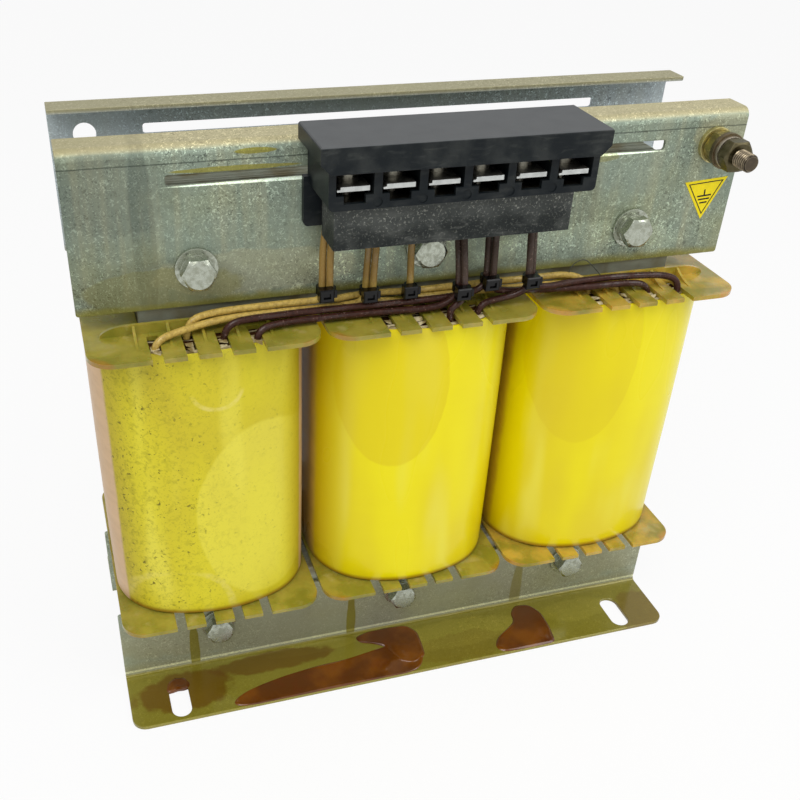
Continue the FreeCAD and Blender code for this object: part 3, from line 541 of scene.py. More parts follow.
@dataclass(frozen=True)
class BobbinNylon(Finish):
    """Unfilled nylon that lets some light through, darkened where varnish has dried."""

    clear: Colour = linear("a3963a")
    olive: Colour = linear("7d7a20")
    amber: Colour = linear("a5741a")
    milk: Colour = linear("b5a766")
    warmth: float = 0.25
    middle: float = CENTRE

    def dress(self, shader: Shader) -> None:
        """Olive and amber clouds, milky patches and a wet gloss.

        Args:
            shader: Node tree to add to.
        """
        cloud = shader.noise(13.0, 3.0)
        second = shader.noise(17.0, 3.0, shift=(50, 9, 2))
        fine = shader.noise(2.2, 3.0)
        base = shader.mix(cloud.rise(0.36, 0.66) * 0.8, self.clear, self.olive)
        rim = (shader.y.absolute() * 0.6 + (shader.x - self.middle).absolute() * 0.5).rise(52.0, 60.0)
        base = shader.mix((second * (0.35 + rim * 0.65) + (self.warmth - 0.25)).rise(0.34, 0.52) * 0.7, base,
                          self.amber)
        base = shader.mix(shader.noise(8.0, 4.0, shift=(7, 70, 5)).rise(0.56, 0.72) * 0.6, base, self.milk)
        shader.set(Base_Color=shader.shade(base, 0.86 + fine * 0.28), Roughness=0.20 + cloud * 0.14,
                   Coat_Weight=second.rise(0.35, 0.6) * 0.5, Coat_Roughness=0.06, Subsurface_Weight=0.18,
                   Subsurface_Scale=0.003, Specular_IOR_Level=0.35)
        shader.bump(cloud + fine * 0.25, 0.25, 0.55)


@dataclass(frozen=True)
class Moulding(Finish):
    """Black thermoset moulding, with as much grey dust on it as the part has caught."""

    base: Colour = linear("0d1418")
    dust: Colour = linear("8b8d86")
    dusty: float = 0.15
    roughness: float = 0.34
    top: float = 1000.0
    top_dust: Colour = linear("5f6162")
    worn: Colour = linear("6e726e")
    grit: Colour = linear("a9aaa0")
    speckle: float = 0.0
    speckle_from: float = 240.0

    def dress(self, shader: Shader) -> None:
        """Moulded grain, dust in patches and bright grit, and an even grey on what faces up.

        Args:
            shader: Node tree to add to.
        """
        grain = shader.noise(0.5, 3.0)
        patches = shader.noise(9.0, 5.0)
        scuffs = shader.noise(2.4, 4.0, stretch=(0.3, 1.0, 1.0), twist=0.6)
        lying = (patches.rise(0.40, 0.78) * 0.6 + scuffs.rise(0.52, 0.74) * 0.5 + grain * 0.15) * self.dusty
        base = shader.mix(lying, self.base, self.dust)
        if self.speckle:
            grit = shader.noise(1.0, 4.0, shift=(2, 9, 5), twist=0.7).rise(0.55, 0.70)
            high = (shader.z + (patches - 0.5) * 9.0).rise(self.speckle_from - 3.0, self.speckle_from + 7.0)
            base = shader.mix(high * 0.34, base, self.worn)
            base = shader.mix(grit * (0.25 + high * 0.75) * self.speckle, base, self.grit)
        # An even grey on the faces that look up.
        up = shader.z.rise(self.top, self.top + 0.2)
        base = shader.mix(up * 0.9, base, shader.shade(self.top_dust, 0.86 + patches * 0.28))
        shader.set(Base_Color=base, Roughness=self.roughness + lying * 0.4 + grain * 0.08 + up * 0.25,
                   Specular_IOR_Level=0.16)
        shader.bump(grain + patches * 1.4 + scuffs * 0.4, 0.06, 0.7)


@dataclass(frozen=True)
class PlatedMetal(Finish):
    """Plated or passivated metal with tarnish in patches, and a second tone past a line along Y."""

    metal: Colour = linear("bcc1b2")
    tarnish: Colour = linear("7d8069")
    amount: float = 0.45
    roughness: float = 0.24
    patch: float = 2.4
    second: Colour | None = None
    split: tuple[float, float] = (0.0, 0.0)
    axis: tuple[float, float] | None = None
    groove: tuple[float, float] = (3.9, 3.45)
    # Painted shade in the valleys of a thread.
    valley_shade: Colour = linear("14100d")
    end_face: Colour = linear("3c342b")

    def dress(self, shader: Shader) -> None:
        """Bright metal mixed with its tarnish, fine wear, and painted shade in the valleys of a thread.

        Args:
            shader: Node tree to add to.
        """
        patches = shader.noise(self.patch, 4.0)
        fine = shader.noise(0.6, 3.0)
        worn = patches.rise(0.38, 0.66) * self.amount
        base = shader.mix(worn, shader.shade(self.metal, 0.78 + fine * 0.4), self.tarnish)
        if self.second:
            base = shader.mix(shader.y.rise(*self.split), base, shader.shade(self.second, 0.6 + patches * 0.8))
        if self.axis:
            away = shader.around(*self.axis)
            # Painted shade in the valleys of the thread.
            valley = away.rise(*self.groove) * away.rise(3.1, 3.3)
            base = shader.mix(valley * 0.92, base, self.valley_shade)
            base = shader.mix(away.rise(3.2, 2.9) * 0.75, base, self.end_face)
        shader.set(Base_Color=base, Metallic=0.95 - worn * 0.4,
                   Roughness=self.roughness + worn * 0.25 + fine * 0.10)
        shader.bump(fine + patches * 0.6, 0.03, 0.6)


@dataclass(frozen=True)
class Paper(Finish):
    """Insulation paper and wound layers seen through the slots."""

    paper: Colour = linear("cdbf96")
    soaked: Colour = linear("7f6a34")

    def dress(self, shader: Shader) -> None:
        """Cream paper with soaked patches and fibres.

        Args:
            shader: Node tree to add to.
        """
        soak = shader.noise(4.0, 3.0)
        fibre = shader.noise(0.6, 3.0, stretch=(0.3, 0.3, 1.0))
        shader.set(Base_Color=shader.mix(soak.rise(0.42, 0.62) * 0.85, self.paper, self.soaked),
                   Roughness=0.5 + fibre * 0.15, Specular_IOR_Level=0.3)
        shader.bump(fibre + soak, 0.08, 0.7)


@dataclass(frozen=True)
class CopperWire(Finish):
    """Enamelled copper wire in close turns."""

    copper: Colour = linear("5b2f1a")
    soaked: Colour = linear("21130c")
    turn: float = 1.2

    def dress(self, shader: Shader) -> None:
        """Turns as ripples along the height, dark where varnish fills them.

        Args:
            shader: Node tree to add to.
        """
        turns = (shader.z * (2 * math.pi / self.turn)).sine()
        soak = shader.noise(5.0, 3.0).rise(0.4, 0.65)
        shader.set(Base_Color=shader.mix(soak * 0.8, self.copper, self.soaked), Metallic=0.6,
                   Roughness=0.3 + soak * 0.15)
        shader.bump(turns, 0.2, 0.8)


@dataclass(frozen=True)
class Sleeving(Finish):
    """Varnished fabric sleeving on a lead, duller on the rise to the block."""

    light: Colour = linear("d2b45c")
    dark: Colour = linear("8a6a2a")
    rise_tone: Colour = linear("836434")
    fleck: Colour = linear("e6c78a")
    roughness: float = 0.42
    flecks: float = 0.25
    specular: float = 0.32

    def dress(self, shader: Shader) -> None:
        """Fine weave, dark speckles, pale flecks and glossy runs of varnish.

        Args:
            shader: Node tree to add to.
        """
        weave = shader.cells(0.42)
        speckle = shader.noise(1.5, 4.0)
        wet = shader.noise(9.0, 2.0)
        base = shader.mix(speckle.rise(0.40, 0.64) * 0.42 + weave * 0.2, self.light, self.dark)
        base = shader.mix(shader.z.rise(215.0, 222.0) * 0.75, base,
                          shader.shade(self.rise_tone, 0.6 + speckle * 0.8))
        grit = shader.noise(0.8, 3.0, shift=(4, 2, 8)).rise(0.62, 0.72)
        base = shader.mix(grit * self.flecks, base, self.fleck)
        shader.set(Base_Color=base, Roughness=self.roughness - wet.rise(0.45, 0.62) * 0.2,
                   Coat_Weight=wet.rise(0.46, 0.62) * 0.4, Coat_Roughness=0.12,
                   Specular_IOR_Level=self.specular)
        shader.bump(weave + speckle * 1.5, 0.10, 0.9)


@dataclass(frozen=True)
class Varnish(Finish):
    """Thick dried varnish, dark amber where it is deep."""

    deep: Colour = linear("5c3007")
    thin: Colour = linear("854c0a")
    red: Colour = linear("6a2206")
    film: float = 0.35

    def dress(self, shader: Shader) -> None:
        """Slow change from deep brown to amber, with a hard wet gloss and a few bubbles.

        Args:
            shader: Node tree to add to.
        """
        depth = shader.noise(18.0, 3.0)
        red = shader.noise(7.0, 3.0, shift=(8, 1, 6)).rise(0.5, 0.75)
        base = shader.mix((depth + (self.film - 0.35)).rise(0.38, 0.66) * 0.7, self.deep, self.thin)
        base = shader.mix(red * 0.2, base, self.red)
        bubbles = shader.cells(2.6, "Distance").rise(0.16, 0.06)
        shader.set(Base_Color=base, Roughness=0.10 + depth * 0.06, Coat_Weight=0.4, Coat_Roughness=0.03,
                   Specular_IOR_Level=0.4)
        shader.bump(depth * 3.0 + bubbles * 0.3, 0.25, 0.5)


@dataclass(frozen=True)
class PlainGloss(Finish):
    """Small glossy plastic and printed parts."""

    colour: Colour = linear("030304")
    roughness: float = 0.16
    specular: float = 0.30

    def dress(self, shader: Shader) -> None:
        """Even colour with slight smears in its gloss.

        Args:
            shader: Node tree to add to.
        """
        smear = shader.noise(2.0, 3.0)
        shader.set(Base_Color=shader.shade(self.colour, 0.85 + smear * 0.3),
                   Roughness=self.roughness + smear * 0.15, Specular_IOR_Level=self.specular)
        shader.bump(smear, 0.03, 0.5)


class Look(Enum):
    """Every finish of the transformer by its use."""

    CORE = CoreSteel("core_steel")
    CLAMP_FRONT = GalvanisedSheet(
        "clamp_front_zinc", thin=linear("bdb48c"), line=272.8, haze=0.28, contrast=0.95, varnish=linear("868012"),
        films=(Band("z", 217.5, 212.8, 0.75, 3.0), Stain((-74, 0, 275.8), (9, 0, 1.2), 0.9),
               Stain((-83, 0, 269.4), (27, 0, 1.1), 0.85), Stain((79, 0, 262.5), (9, 0, 2.0), 0.45),
               Stain((-115, 0, 221), (34, 0, 9), 0.4, 0.8)),
        tints=(Band("z", 277.0, 279.4, 0.95), Stain((-75, 0, 225), (45, 0, 10), 0.3),
               Stain((140, 0, 270), (16, 0, 9), 0.35)),
        # Painted light and shade: a bright line on the slot's lower lip, a brighter band at the bend, lifted shade
        # under the guard and low on the right, and darker towards the left end, in two narrow upright streaks,
        # towards the bottom, beside the slot's left end and low on the left.
        painted_shading=(Band("x", -96.0, -152.0, 0.22, 30.0), Stain((-120, 0, 245), (5, 0, 42), 0.22, 0.6),
                Stain((76, 0, 236), (5, 0, 34), 0.16, 0.8), Band("z", 232.0, 212.0, 0.12, 20.0),
                Stain((0, -35, 263.5), (109, 2.5, 0.7), -3.6, 0.1),
                Stain((0, -35, 277.2), (0, 2.5, 1.4), -0.25, 0.3), Stain((-4, -35, 226), (48, 3, 13), -0.80, 0.3),
                Stain((76, -35, 221), (52, 3, 12), -0.42, 0.5), Stain((-130, -35, 262), (26, 3, 17), 0.16, 1.2),
                Stain((-115, -35, 221), (36, 3, 13), 0.18, 0.5)))
    # Painted light: the rear clamp's zinc is paler and bluer than the front's, which lifts its shaded inner face.
    CLAMP_REAR = GalvanisedSheet(
        "clamp_rear_zinc", zinc=linear("b7c3c8"), thin=linear("9c9672"), haze=0.12, contrast=0.8, metal=0.15,
        varnish=linear("807b28"),
        tints=(Band("z", 277.0, 279.4, 0.95), Band("z", 218, 213, 0.5, 3.0)))
    FOOT_FRONT = GalvanisedSheet(
        "foot_front_zinc", zinc=linear("a3ac97"), varnish=linear("847a03"), haze=0.18, contrast=0.5, gloss=0.7,
        films=(Band("z", 3.6, 2.6, 0.92, 0.5), Stain((-113, -34, 10), (2.7, 4, 25), 0.85, 0.7),
               Stain((-27, -34, 10), (2.7, 4, 25), 0.85, 0.7), Stain((72, -34, 11), (3.4, 4, 25), 0.6, 0.7)),
        tints=(Band("z", 14.0, 4.0, 0.5, 8.0), Stain((0, -35, 26), (170, 3, 24), 0.45, 0.5)),
        deeps=(Stain((-121, -53, 0), (30, 15, 4), 0.8, 1.1), Stain((-72, -44, 0), (37, 8, 4), 0.75, 1.2),
               Stain((148, -62, 0), (28, 22, 4), 0.5, 1.3), Stain((30, -60, 0), (34, 12, 4), 0.25, 1.4)),
        # Painted highlights on the foot: a bright line along the bend, a bright front edge and brighter patches of
        # gloss on the top.
        painted_shading=(Stain((0, -35, 4.7), (0, 1.5, 0.8), -1.4, 0.2), Stain((0, -71, 1), (0, 0.5, 3), -0.5, 0.3),
                Stain((28, -50, 0), (46, 12, 4), -0.45, 0.8), Stain((-50, -40, 0), (30, 5, 4), -0.45, 0.8),
                Stain((104, -50, 0), (24, 10, 4), -0.35, 0.8)))
    FOOT_REAR = GalvanisedSheet(
        "foot_rear_zinc", zinc=linear("a3ac97"), varnish=linear("82800e"), haze=0.22, contrast=0.5, gloss=0.6,
        films=(Band("z", 3.6, 2.6, 0.80, 0.5), Stain((40, 34, 14), (3.0, 4, 15), 0.8, 0.5),
               Stain((-84, 34, 12), (3.0, 4, 14), 0.7, 0.5)))
    # In these films side is a painted grazing reflection on the flat sides, turned the share of painted shade on
    # the rounded sides, and the sheens painted reflections.
    FILM_LEFT = CoilFilm(
        "film_left", film=linear("e2d62a"), side=linear("dcb898"), warm=linear("bda61c"), turned=0.8,
        specks=1.0, gloss=0.34, middle=LEFT, flat_from=42.4,
        sheens=(Stain((-76, 0, 112), (34, 0, 50), 0.45, 0.12, 0.09),),
        scuffs=(Ring(-97.2, 184.0, 11.5, 1.5, 171.0, 180.0, 0.45), Ring(-119.0, 60.0, 24.0, 2.4, 60.0, 82.0, 0.3)))
    FILM_CENTRE = CoilFilm("film_centre", side=linear("d0b05c"), turned=0.85,
                           lobes=(Stain((-17, 0, 172), (25, 0, 44), 0.45, 0.12, 0.07),))
    FILM_RIGHT = CoilFilm("film_right", side=linear("cca826"), middle=RIGHT, turned=0.0,
                          lobes=(Stain((80, 0, 174), (25, 0, 50), 0.32, 0.12, 0.07),))
    BOBBIN_LEFT = BobbinNylon("bobbin_nylon_left", middle=LEFT)
    BOBBIN_CENTRE = BobbinNylon("bobbin_nylon_centre", warmth=0.24)
    BOBBIN_RIGHT = BobbinNylon("bobbin_nylon_right", clear=linear("c4a440"), amber=linear("c08c38"), warmth=0.31,
                               middle=RIGHT)
    BLOCK = Moulding("block_moulding", dusty=0.10)
    CAP = Moulding("cap_moulding", dusty=0.13, top=286.0)
    GUARD = Moulding("guard_moulding", base=linear("171c1c"), dusty=0.3, roughness=0.42, speckle=0.7,
                     speckle_from=249.0)
    ZINC = PlatedMetal("zinc_plate", metal=linear("b4b9ab"), roughness=0.17, patch=1.8)
    PASSIVATED = PlatedMetal("yellow_passivate", metal=linear("968a50"), tarnish=linear("453d20"), amount=0.65,
                             second=linear("575038"), split=(-44.0, -46.2))
    PASSIVATED_RING = PlatedMetal("yellow_passivate_ring", metal=linear("cfc48a"), tarnish=linear("6a5c30"),
                                  amount=0.5, second=linear("665a44"), split=(-42.0, -43.0))
    SPRING_RING = PlatedMetal("spring_ring", metal=linear("b8ae9c"), tarnish=linear("554c3c"), amount=0.4)
    STUD = PlatedMetal("stud_thread", metal=linear("94876f"), tarnish=linear("4a3d33"), amount=0.5,
                       roughness=0.2, axis=EARTH)
    PLATE = PlatedMetal("terminal_plate", metal=linear("a5a298"), tarnish=linear("55524a"), amount=0.5,
                        second=linear("c4c7c4"), split=(-66.0, -66.3))
    BRASS = PlatedMetal("screw_plate", metal=linear("c9c6b8"), tarnish=linear("6a6450"), amount=0.5)
    BAR = PlatedMetal("bar_brass", metal=linear("3d382c"), tarnish=linear("15130f"), amount=0.7)
    FIBRE = Paper("sleeve_fibre", paper=linear("b08a4c"), soaked=linear("7d5a28"))
    PAPER = Paper("insulation_paper")
    COPPER = CopperWire("copper_wire")
    OCHRE = Sleeving("ochre_sleeving")
    BROWN = Sleeving("brown_sleeving", light=linear("42241b"), dark=linear("1c0c09"), rise_tone=linear("4c4036"),
                     fleck=linear("a08478"), roughness=0.36, flecks=0.5, specular=0.22)
    TIE = PlainGloss("tie_nylon")
    LABEL = PlainGloss("label_yellow", colour=linear("f4de10"), roughness=0.35, specular=0.3)
    PRINT = PlainGloss("label_print", colour=linear("0c0b06"), roughness=0.4, specular=0.3)
    POOL = Varnish("varnish_pool")
    HAIR = PlainGloss("grey_fibre", colour=linear("4a4d44"), roughness=0.4)


def put(name: str, data: bpy.types.ID) -> bpy.types.Object:
    """Make an object from its data and link it to the scene.

    Args:
        name: Name of the object.
        data: Mesh, camera or light.

    Returns:
        The object.
    """
    made = bpy.data.objects.new(name, data)
    bpy.context.scene.collection.objects.link(made)
    return made


def grid_faces(rows: int, columns: int, closed: bool, tube: bool = False) -> Array:
    """Number the quads of a grid of points.

    Args:
        rows: Points along the first parameter.
        columns: Points along the second one.
        closed: True if the columns join up into rings.
        tube: True if the last row joins the first one as well.

    Returns:
        An array of four indices a face.
    """
    i, j = np.meshgrid(np.arange(rows if tube else rows - 1), np.arange(columns if closed else columns - 1),
                       indexing="ij")
    n, k = (i + 1) % rows, (j + 1) % columns
    return np.stack([i * columns + j, i * columns + k, n * columns + k, n * columns + j], -1).reshape(-1, 4)


def ripple(u: Array, v: Array, seed: int, waves: int = 6) -> Array:
    """Slow random waves: the mean of a few sines of u and v with seeded slopes and starts.

    Args:
        u: First parameter.
        v: Second parameter.
        seed: Seed of the slopes and starts.
        waves: Number of sines.

    Returns:
        Values from -1 to 1.
    """
    draw = np.random.default_rng(seed)
    slope = draw.normal(size=(2, waves))
    start = draw.uniform(0, 2 * np.pi, waves)
    return np.sin(u[..., None] * slope[0] + v[..., None] * slope[1] + start).mean(-1)


@dataclass
class Shape:
    """Points and faces of a piece in millimetres."""

    points: Array
    faces: list[list[int]]

    @classmethod
    def joined(cls, shapes: Sequence["Shape"]) -> "Shape":
        """Put several shapes into one, with their faces numbered on.

        Args:
            shapes: The shapes, in order.

        Returns:
            The whole.
        """
        offsets = np.cumsum([0] + [len(s.points) for s in shapes[:-1]])
        faces = [[int(v) + int(o) for v in face] for s, o in zip(shapes, offsets) for face in s.faces]
        return cls(np.concatenate([s.points for s in shapes]), faces)

    @classmethod
    def rings(cls, points: Array, capped: bool = True, tube: bool = False) -> "Shape":
        """Surface through closed rings of points.

        Args:
            points: Array of rings by points by three.
            capped: True to close both ends with a flat face.
            tube: True to join the last ring to the first.

        Returns:
            The shape.
        """
        rows, columns = points.shape[:2]
        faces = grid_faces(rows, columns, True, tube).tolist()
        if capped and not tube:
            faces.append(list(range(columns))[::-1])
            faces.append([(rows - 1) * columns + j for j in range(columns)])
        return cls(points.reshape(-1, 3), faces)

    @classmethod
    def prism(cls, outline: Array, low: float, high: float) -> "Shape":
        """Flat plate: an outline in x and z carried from one y to another.

        Args:
            outline: Corners by two.
            low: First y.
            high: Second y.

        Returns:
            The shape.
        """
        x, z = outline.T
        ends = [np.stack([x, np.full_like(x, y), z], -1) for y in (low, high)]
        return cls.rings(np.array(ends))

    @classmethod
    def between(cls, top: Array, bottom: Array) -> "Shape":
        """Thin skin: two grids of points that are joined along their four edges.

        Args:
            top: Rows by columns by three.
            bottom: The same for the other face.

        Returns:
            The shape.
        """
        rows, columns = top.shape[:2]
        index = np.arange(rows * columns).reshape(rows, columns)
        loop = np.concatenate([index[0, :-1], index[:-1, -1], index[-1, :0:-1], index[:0:-1, 0]])
        after = np.roll(loop, -1)
        half = rows * columns
        quads = grid_faces(rows, columns, False)
        walls = np.stack([loop, loop + half, after + half, after], -1)
        faces = np.concatenate([quads, quads[:, ::-1] + half, walls])
        return cls(np.concatenate([top.reshape(-1, 3), bottom.reshape(-1, 3)]), faces.tolist())

    def mesh(self, name: str, smooth_below: float = 35.0) -> bpy.types.Object:
        """Make a Blender object with the shape in metres, its faces turned outwards.

        Args:
            name: Name of the object.
            smooth_below: Degrees below which an edge is shaded smooth.

        Returns:
            The object, linked to the scene.
        """
        data = bpy.data.meshes.new(name)
        data.from_pydata((self.points * MM).tolist(), [], self.faces)
        data.validate()
        work = bmesh.new()
        work.from_mesh(data)
        bmesh.ops.recalc_face_normals(work, faces=work.faces)
        work.to_mesh(data)
        work.free()
        data.shade_smooth()
        data.set_sharp_from_angle(angle=math.radians(smooth_below))
        return put(name, data)


@dataclass
class Assembly:
    """Common ground of the sub-assemblies: the CAD objects by name, and the body that all pieces ride."""

    nodes: dict[str, bpy.types.Object]
    body: ClassVar[str] = "root"
    weld_reach: ClassVar[float] = 0.01
    bevel_above: ClassVar[float] = 40.0

    @staticmethod
    def paint(piece: bpy.types.Object, look: Look) -> None:
        """Make a finish the only material of a piece."""
        piece.data.materials.clear()
        piece.data.materials.append(look.value.material())

    def place(self, piece: bpy.types.Object, look: Look, slot: str, replaces: Iterable[str] = ()) -> None:
        """Dress a new piece, attach it to the body and hide the CAD nodes that it stands for.

        Args:
            piece: The piece, in its place.
            look: Its finish.
            slot: Not used.
            replaces: CAD nodes that it stands for.
        """
        self.paint(piece, look)
        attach(piece, self.body)
        for node in replaces:
            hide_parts(node)
        LOG.info("%s: %s, %d faces", type(self).__name__, piece.name, len(piece.data.polygons))

    def dress(self, look: Look, edge: float, *names: str) -> None:
        """Give CAD nodes their finish and, if asked, softened edges.

        Args:
            look: Their finish.
            edge: Width of the softened edges in millimetres, or 0.
            names: The nodes.
        """
        for name in names:
            piece = self.nodes[name]
            self.paint(piece, look)
            if edge:
                weld = piece.modifiers.new("weld", "WELD")
                weld.merge_threshold = self.weld_reach * MM
                bevel = piece.modifiers.new("edge", "BEVEL")
                bevel.width = edge * MM
                bevel.segments = 2
                bevel.angle_limit = math.radians(self.bevel_above)
                even = piece.modifiers.new("even", "WEIGHTED_NORMAL")
                even.weight = 100
                even.keep_sharp = True
            LOG.info("%s: CAD node %s", type(self).__name__, name)


@dataclass
class Core(Assembly):
    """Laminated core: 132 sheets, each an E and an I, turned over packet by packet."""

    sheets: int = 132
    packets: int = 6
    depth: float = 66.0
    thickness: float = 0.45
    thinnest: float = 0.8
    stray: float = 0.16
    low: float = 4.0
    window: tuple[float, float] = (54.0, 204.0)
    half: float = 125.0
    limbs: tuple[float, ...] = (-75.0, -25.0, 25.0, 75.0)

    def outline(self, letter: str, turned: bool) -> Array:
        """Outline of one sheet in x and z.

        Args:
            letter: E for the sheet with the three limbs, I for the bar.
            turned: True if the E hangs from the upper yoke.

        Returns:
            Corners by two.
        """
        w0, w1 = self.window
        a, b, c, d = self.limbs
        h = self.half
        if letter == "I":
            corners = [(-h, w1), (h, w1), (h, w1 + w0 - self.low), (-h, w1 + w0 - self.low)]
        else:
            corners = [(-h, self.low), (h, self.low), (h, w1), (d, w1), (d, w0), (c, w0), (c, w1), (b, w1),
                       (b, w0), (a, w0), (a, w1), (-h, w1)]
        points = np.array(corners, float)
        if turned:
            points[:, 1] = w0 + w1 - points[:, 1]
        return points

    def stack(self, letter: str, seed: int) -> Shape:
        """All sheets of one letter, each a little out of line with the next.

        Sheet n starts at y = n * depth / sheets - depth / 2, and every other packet of them is turned over.

        Args:
            letter: E or I.
            seed: Seed of the small strays.

        Returns:
            The shape.
        """
        draw = np.random.default_rng(seed)
        pitch = self.depth / self.sheets
        strays = draw.uniform(-self.stray, self.stray, (self.sheets, 2))
        gauges = draw.uniform(self.thickness * self.thinnest, self.thickness, self.sheets)
        plates = []
        for number in range(self.sheets):
            turned = number * self.packets // self.sheets % 2 == 1
            y = -self.depth / 2 + number * pitch
            plates.append(Shape.prism(self.outline(letter, turned) + strays[number], y, y + gauges[number]))
        return Shape.joined(plates)

    def build(self) -> None:
        """Stack the sheets in place of the packets."""
        for letter, node, seed in (("E", "core_e_laminations", 3), ("I", "core_i_laminations", 5)):
            self.place(self.stack(letter, seed).mesh(f"lamination_stack_{letter.lower()}"), Look.CORE,
                       "core_steel", [node])


@dataclass(frozen=True)
class Cut:
    """Hole with rounded corners in a flat sheet: its middle, half sizes and corner radius."""

    x: float
    s: float
    half_x: float
    half_s: float
    corner: float

    def loop(self, steps: int) -> tuple[Array, Array, float]:
        """Go round the hole in four quarter turns, each about the middle of its corner's arc.

        A point of the edge is that middle plus the radius times (cos t, sin t), with t from 0 to 2 * pi.

        Args:
            steps: Points on each corner.

        Returns:
            Middles of the corners' arcs, outward directions, and the arcs' radius.
        """
        turn = np.concatenate([np.linspace(0, np.pi / 2, steps) + k * np.pi / 2 for k in range(4)])
        way = np.stack([np.cos(turn), np.sin(turn)], -1)
        sign = np.repeat([(1, 1), (-1, 1), (-1, -1), (1, -1)], steps, axis=0)
        inner = np.array([self.half_x - self.corner, self.half_s - self.corner])
        return np.array([self.x, self.s]) + sign * inner, way, self.corner


@dataclass(frozen=True)
class BentSheet:
    """Sheet that is cut flat and then bent once: a web and a flange at a right angle."""

    half_length: float
    web: float
    flange: float
    corner: tuple[float, float, float]
    flange_way: float
    web_way: float
    web_corner: float
    flange_corner: float
    holes: tuple[Cut, ...]
    thickness: float = 2.0
    inner: float = 2.0
    edge: float = 0.22
    bends: int = 10
    arc: int = 7
    margin: float = 0.3

    @property
    def outer(self) -> float:
        """Outer radius of the bend."""
        return self.inner + self.thickness

    @property
    def bend_length(self) -> float:
        """Length of the bend along its middle layer."""
        return (self.inner + self.thickness / 2) * math.pi / 2

    def on_flange(self, reach: float) -> float:
        """Place along the flat sheet of a point that lies at a reach from the outer corner."""
        return self.web - self.outer + self.bend_length + reach - self.outer

    def folded(self, flat: Array, depth: float, turned: bool) -> Array:
        """Carry points of the flat sheet to the bent one.

        With s the place along the sheet and t = (s - start) / length * pi / 2, clipped to a quarter
        turn, a point at a depth lies at radius - depth from the bend's middle on its arc. Before the
        bend it stays on the web, past it on the flange.

        Args:
            flat: Points by x and s.
            depth: Depth below the outer face.
            turned: True for the sheet at the rear, turned half round about the upright axis.

        Returns:
            Points by three.
        """
        x, s = flat[:, 0], flat[:, 1]
        start = self.web - self.outer
        t = np.clip((s - start) / self.bend_length, 0, 1) * math.pi / 2
        radius = self.outer - depth
        along_flange = self.outer - radius * np.cos(t) + np.maximum(s - start - self.bend_length, 0)
        along_web = self.outer - radius * np.sin(t) + np.maximum(start - s, 0)
        y = self.corner[1] + self.flange_way * along_flange
        z = self.corner[2] + self.web_way * along_web
        way = -1 if turned else 1
        return np.stack([x * way, y * way, z], -1)

    def shape(self, turned: bool = False) -> Shape:
        """Cut, triangulate and bend the sheet.

        The outline and the holes are loops of corner arcs. Lines cross the sheet at every step of the
        bend, so that the flat triangles between the loops bend with it. Each face lies inside its
        loops by the width of the broken edge, and the walls run from face to face through them.

        Args:
            turned: True for the sheet at the rear.

        Returns:
            The closed shape with its cut edges broken.
        """
        start = self.web - self.outer
        long = self.on_flange(self.flange)
        lines = np.concatenate([[start - self.margin], start + np.linspace(0, self.bend_length, self.bends),
                                [start + self.bend_length + self.margin]])
        h, a, b = self.half_length, self.web_corner, self.flange_corner
        count, steps = len(lines), self.arc
        quarter = np.linspace(0, np.pi / 2, steps)
        parts = [(h - a, a, quarter - np.pi / 2, a), (h - a, lines, np.zeros(count), a),
                 (h - b, long - b, quarter, b), (b - h, long - b, quarter + np.pi / 2, b),
                 (a - h, lines[::-1], np.full(count, np.pi), a), (a - h, a, quarter + np.pi, a)]
        middle = np.concatenate([np.stack(np.broadcast_arrays(x, s, t)[:2], -1) for x, s, t, _ in parts])
        turn = np.concatenate([t for _, _, t, _ in parts])
        radius = np.concatenate([np.full(len(t), r) for _, _, t, r in parts])
        way = np.stack([np.cos(turn), np.sin(turn)], -1)
        loops = [(middle, way, radius[:, None], 1.0)]
        loops += [(*cut.loop(steps), -1.0) for cut in self.holes]
        full = np.concatenate([m + w * r for m, w, r, _ in loops])
        flat = np.concatenate([m + w * (r - sign * self.edge) for m, w, r, sign in loops])
        sizes = [len(m) for m, _, _, _ in loops]
        owner = np.repeat(np.arange(len(sizes)), sizes)
        starts = np.concatenate([[0], np.cumsum(sizes)[:-1]])
        after = np.concatenate([np.roll(np.arange(n), -1) + o for n, o in zip(sizes, starts)])
        rungs = [(steps + k, 3 * steps + 2 * count - 1 - k) for k in range(count)]
        edges = list(zip(range(len(flat)), after.tolist())) + rungs
        _, _, faces, came, _, _ = delaunay_2d_cdt([Vector(v) for v in flat.tolist()], edges, [], 0, 1e-5)
        index = [c[0] if c else -1 for c in came]
        kept = [[index[v] for v in face] for face in faces]
        kept = [f for f in kept if min(f) >= 0 and not (owner[f[0]] == owner[f[1]] == owner[f[2]] > 0)]
        n = len(flat)
        layers = [self.folded(flat, 0.0, turned), self.folded(full, self.edge, turned),
                  self.folded(full, self.thickness - self.edge, turned),
                  self.folded(flat, self.thickness, turned)]
        ring = np.arange(n)
        walls = [np.stack([ring + k * n, after + k * n, after + (k + 1) * n, ring + (k + 1) * n], -1)
                 for k in range(3)]
        back = [[v + 3 * n for v in f[::-1]] for f in kept]
        return Shape(np.concatenate(layers), kept + back + np.concatenate(walls).tolist())


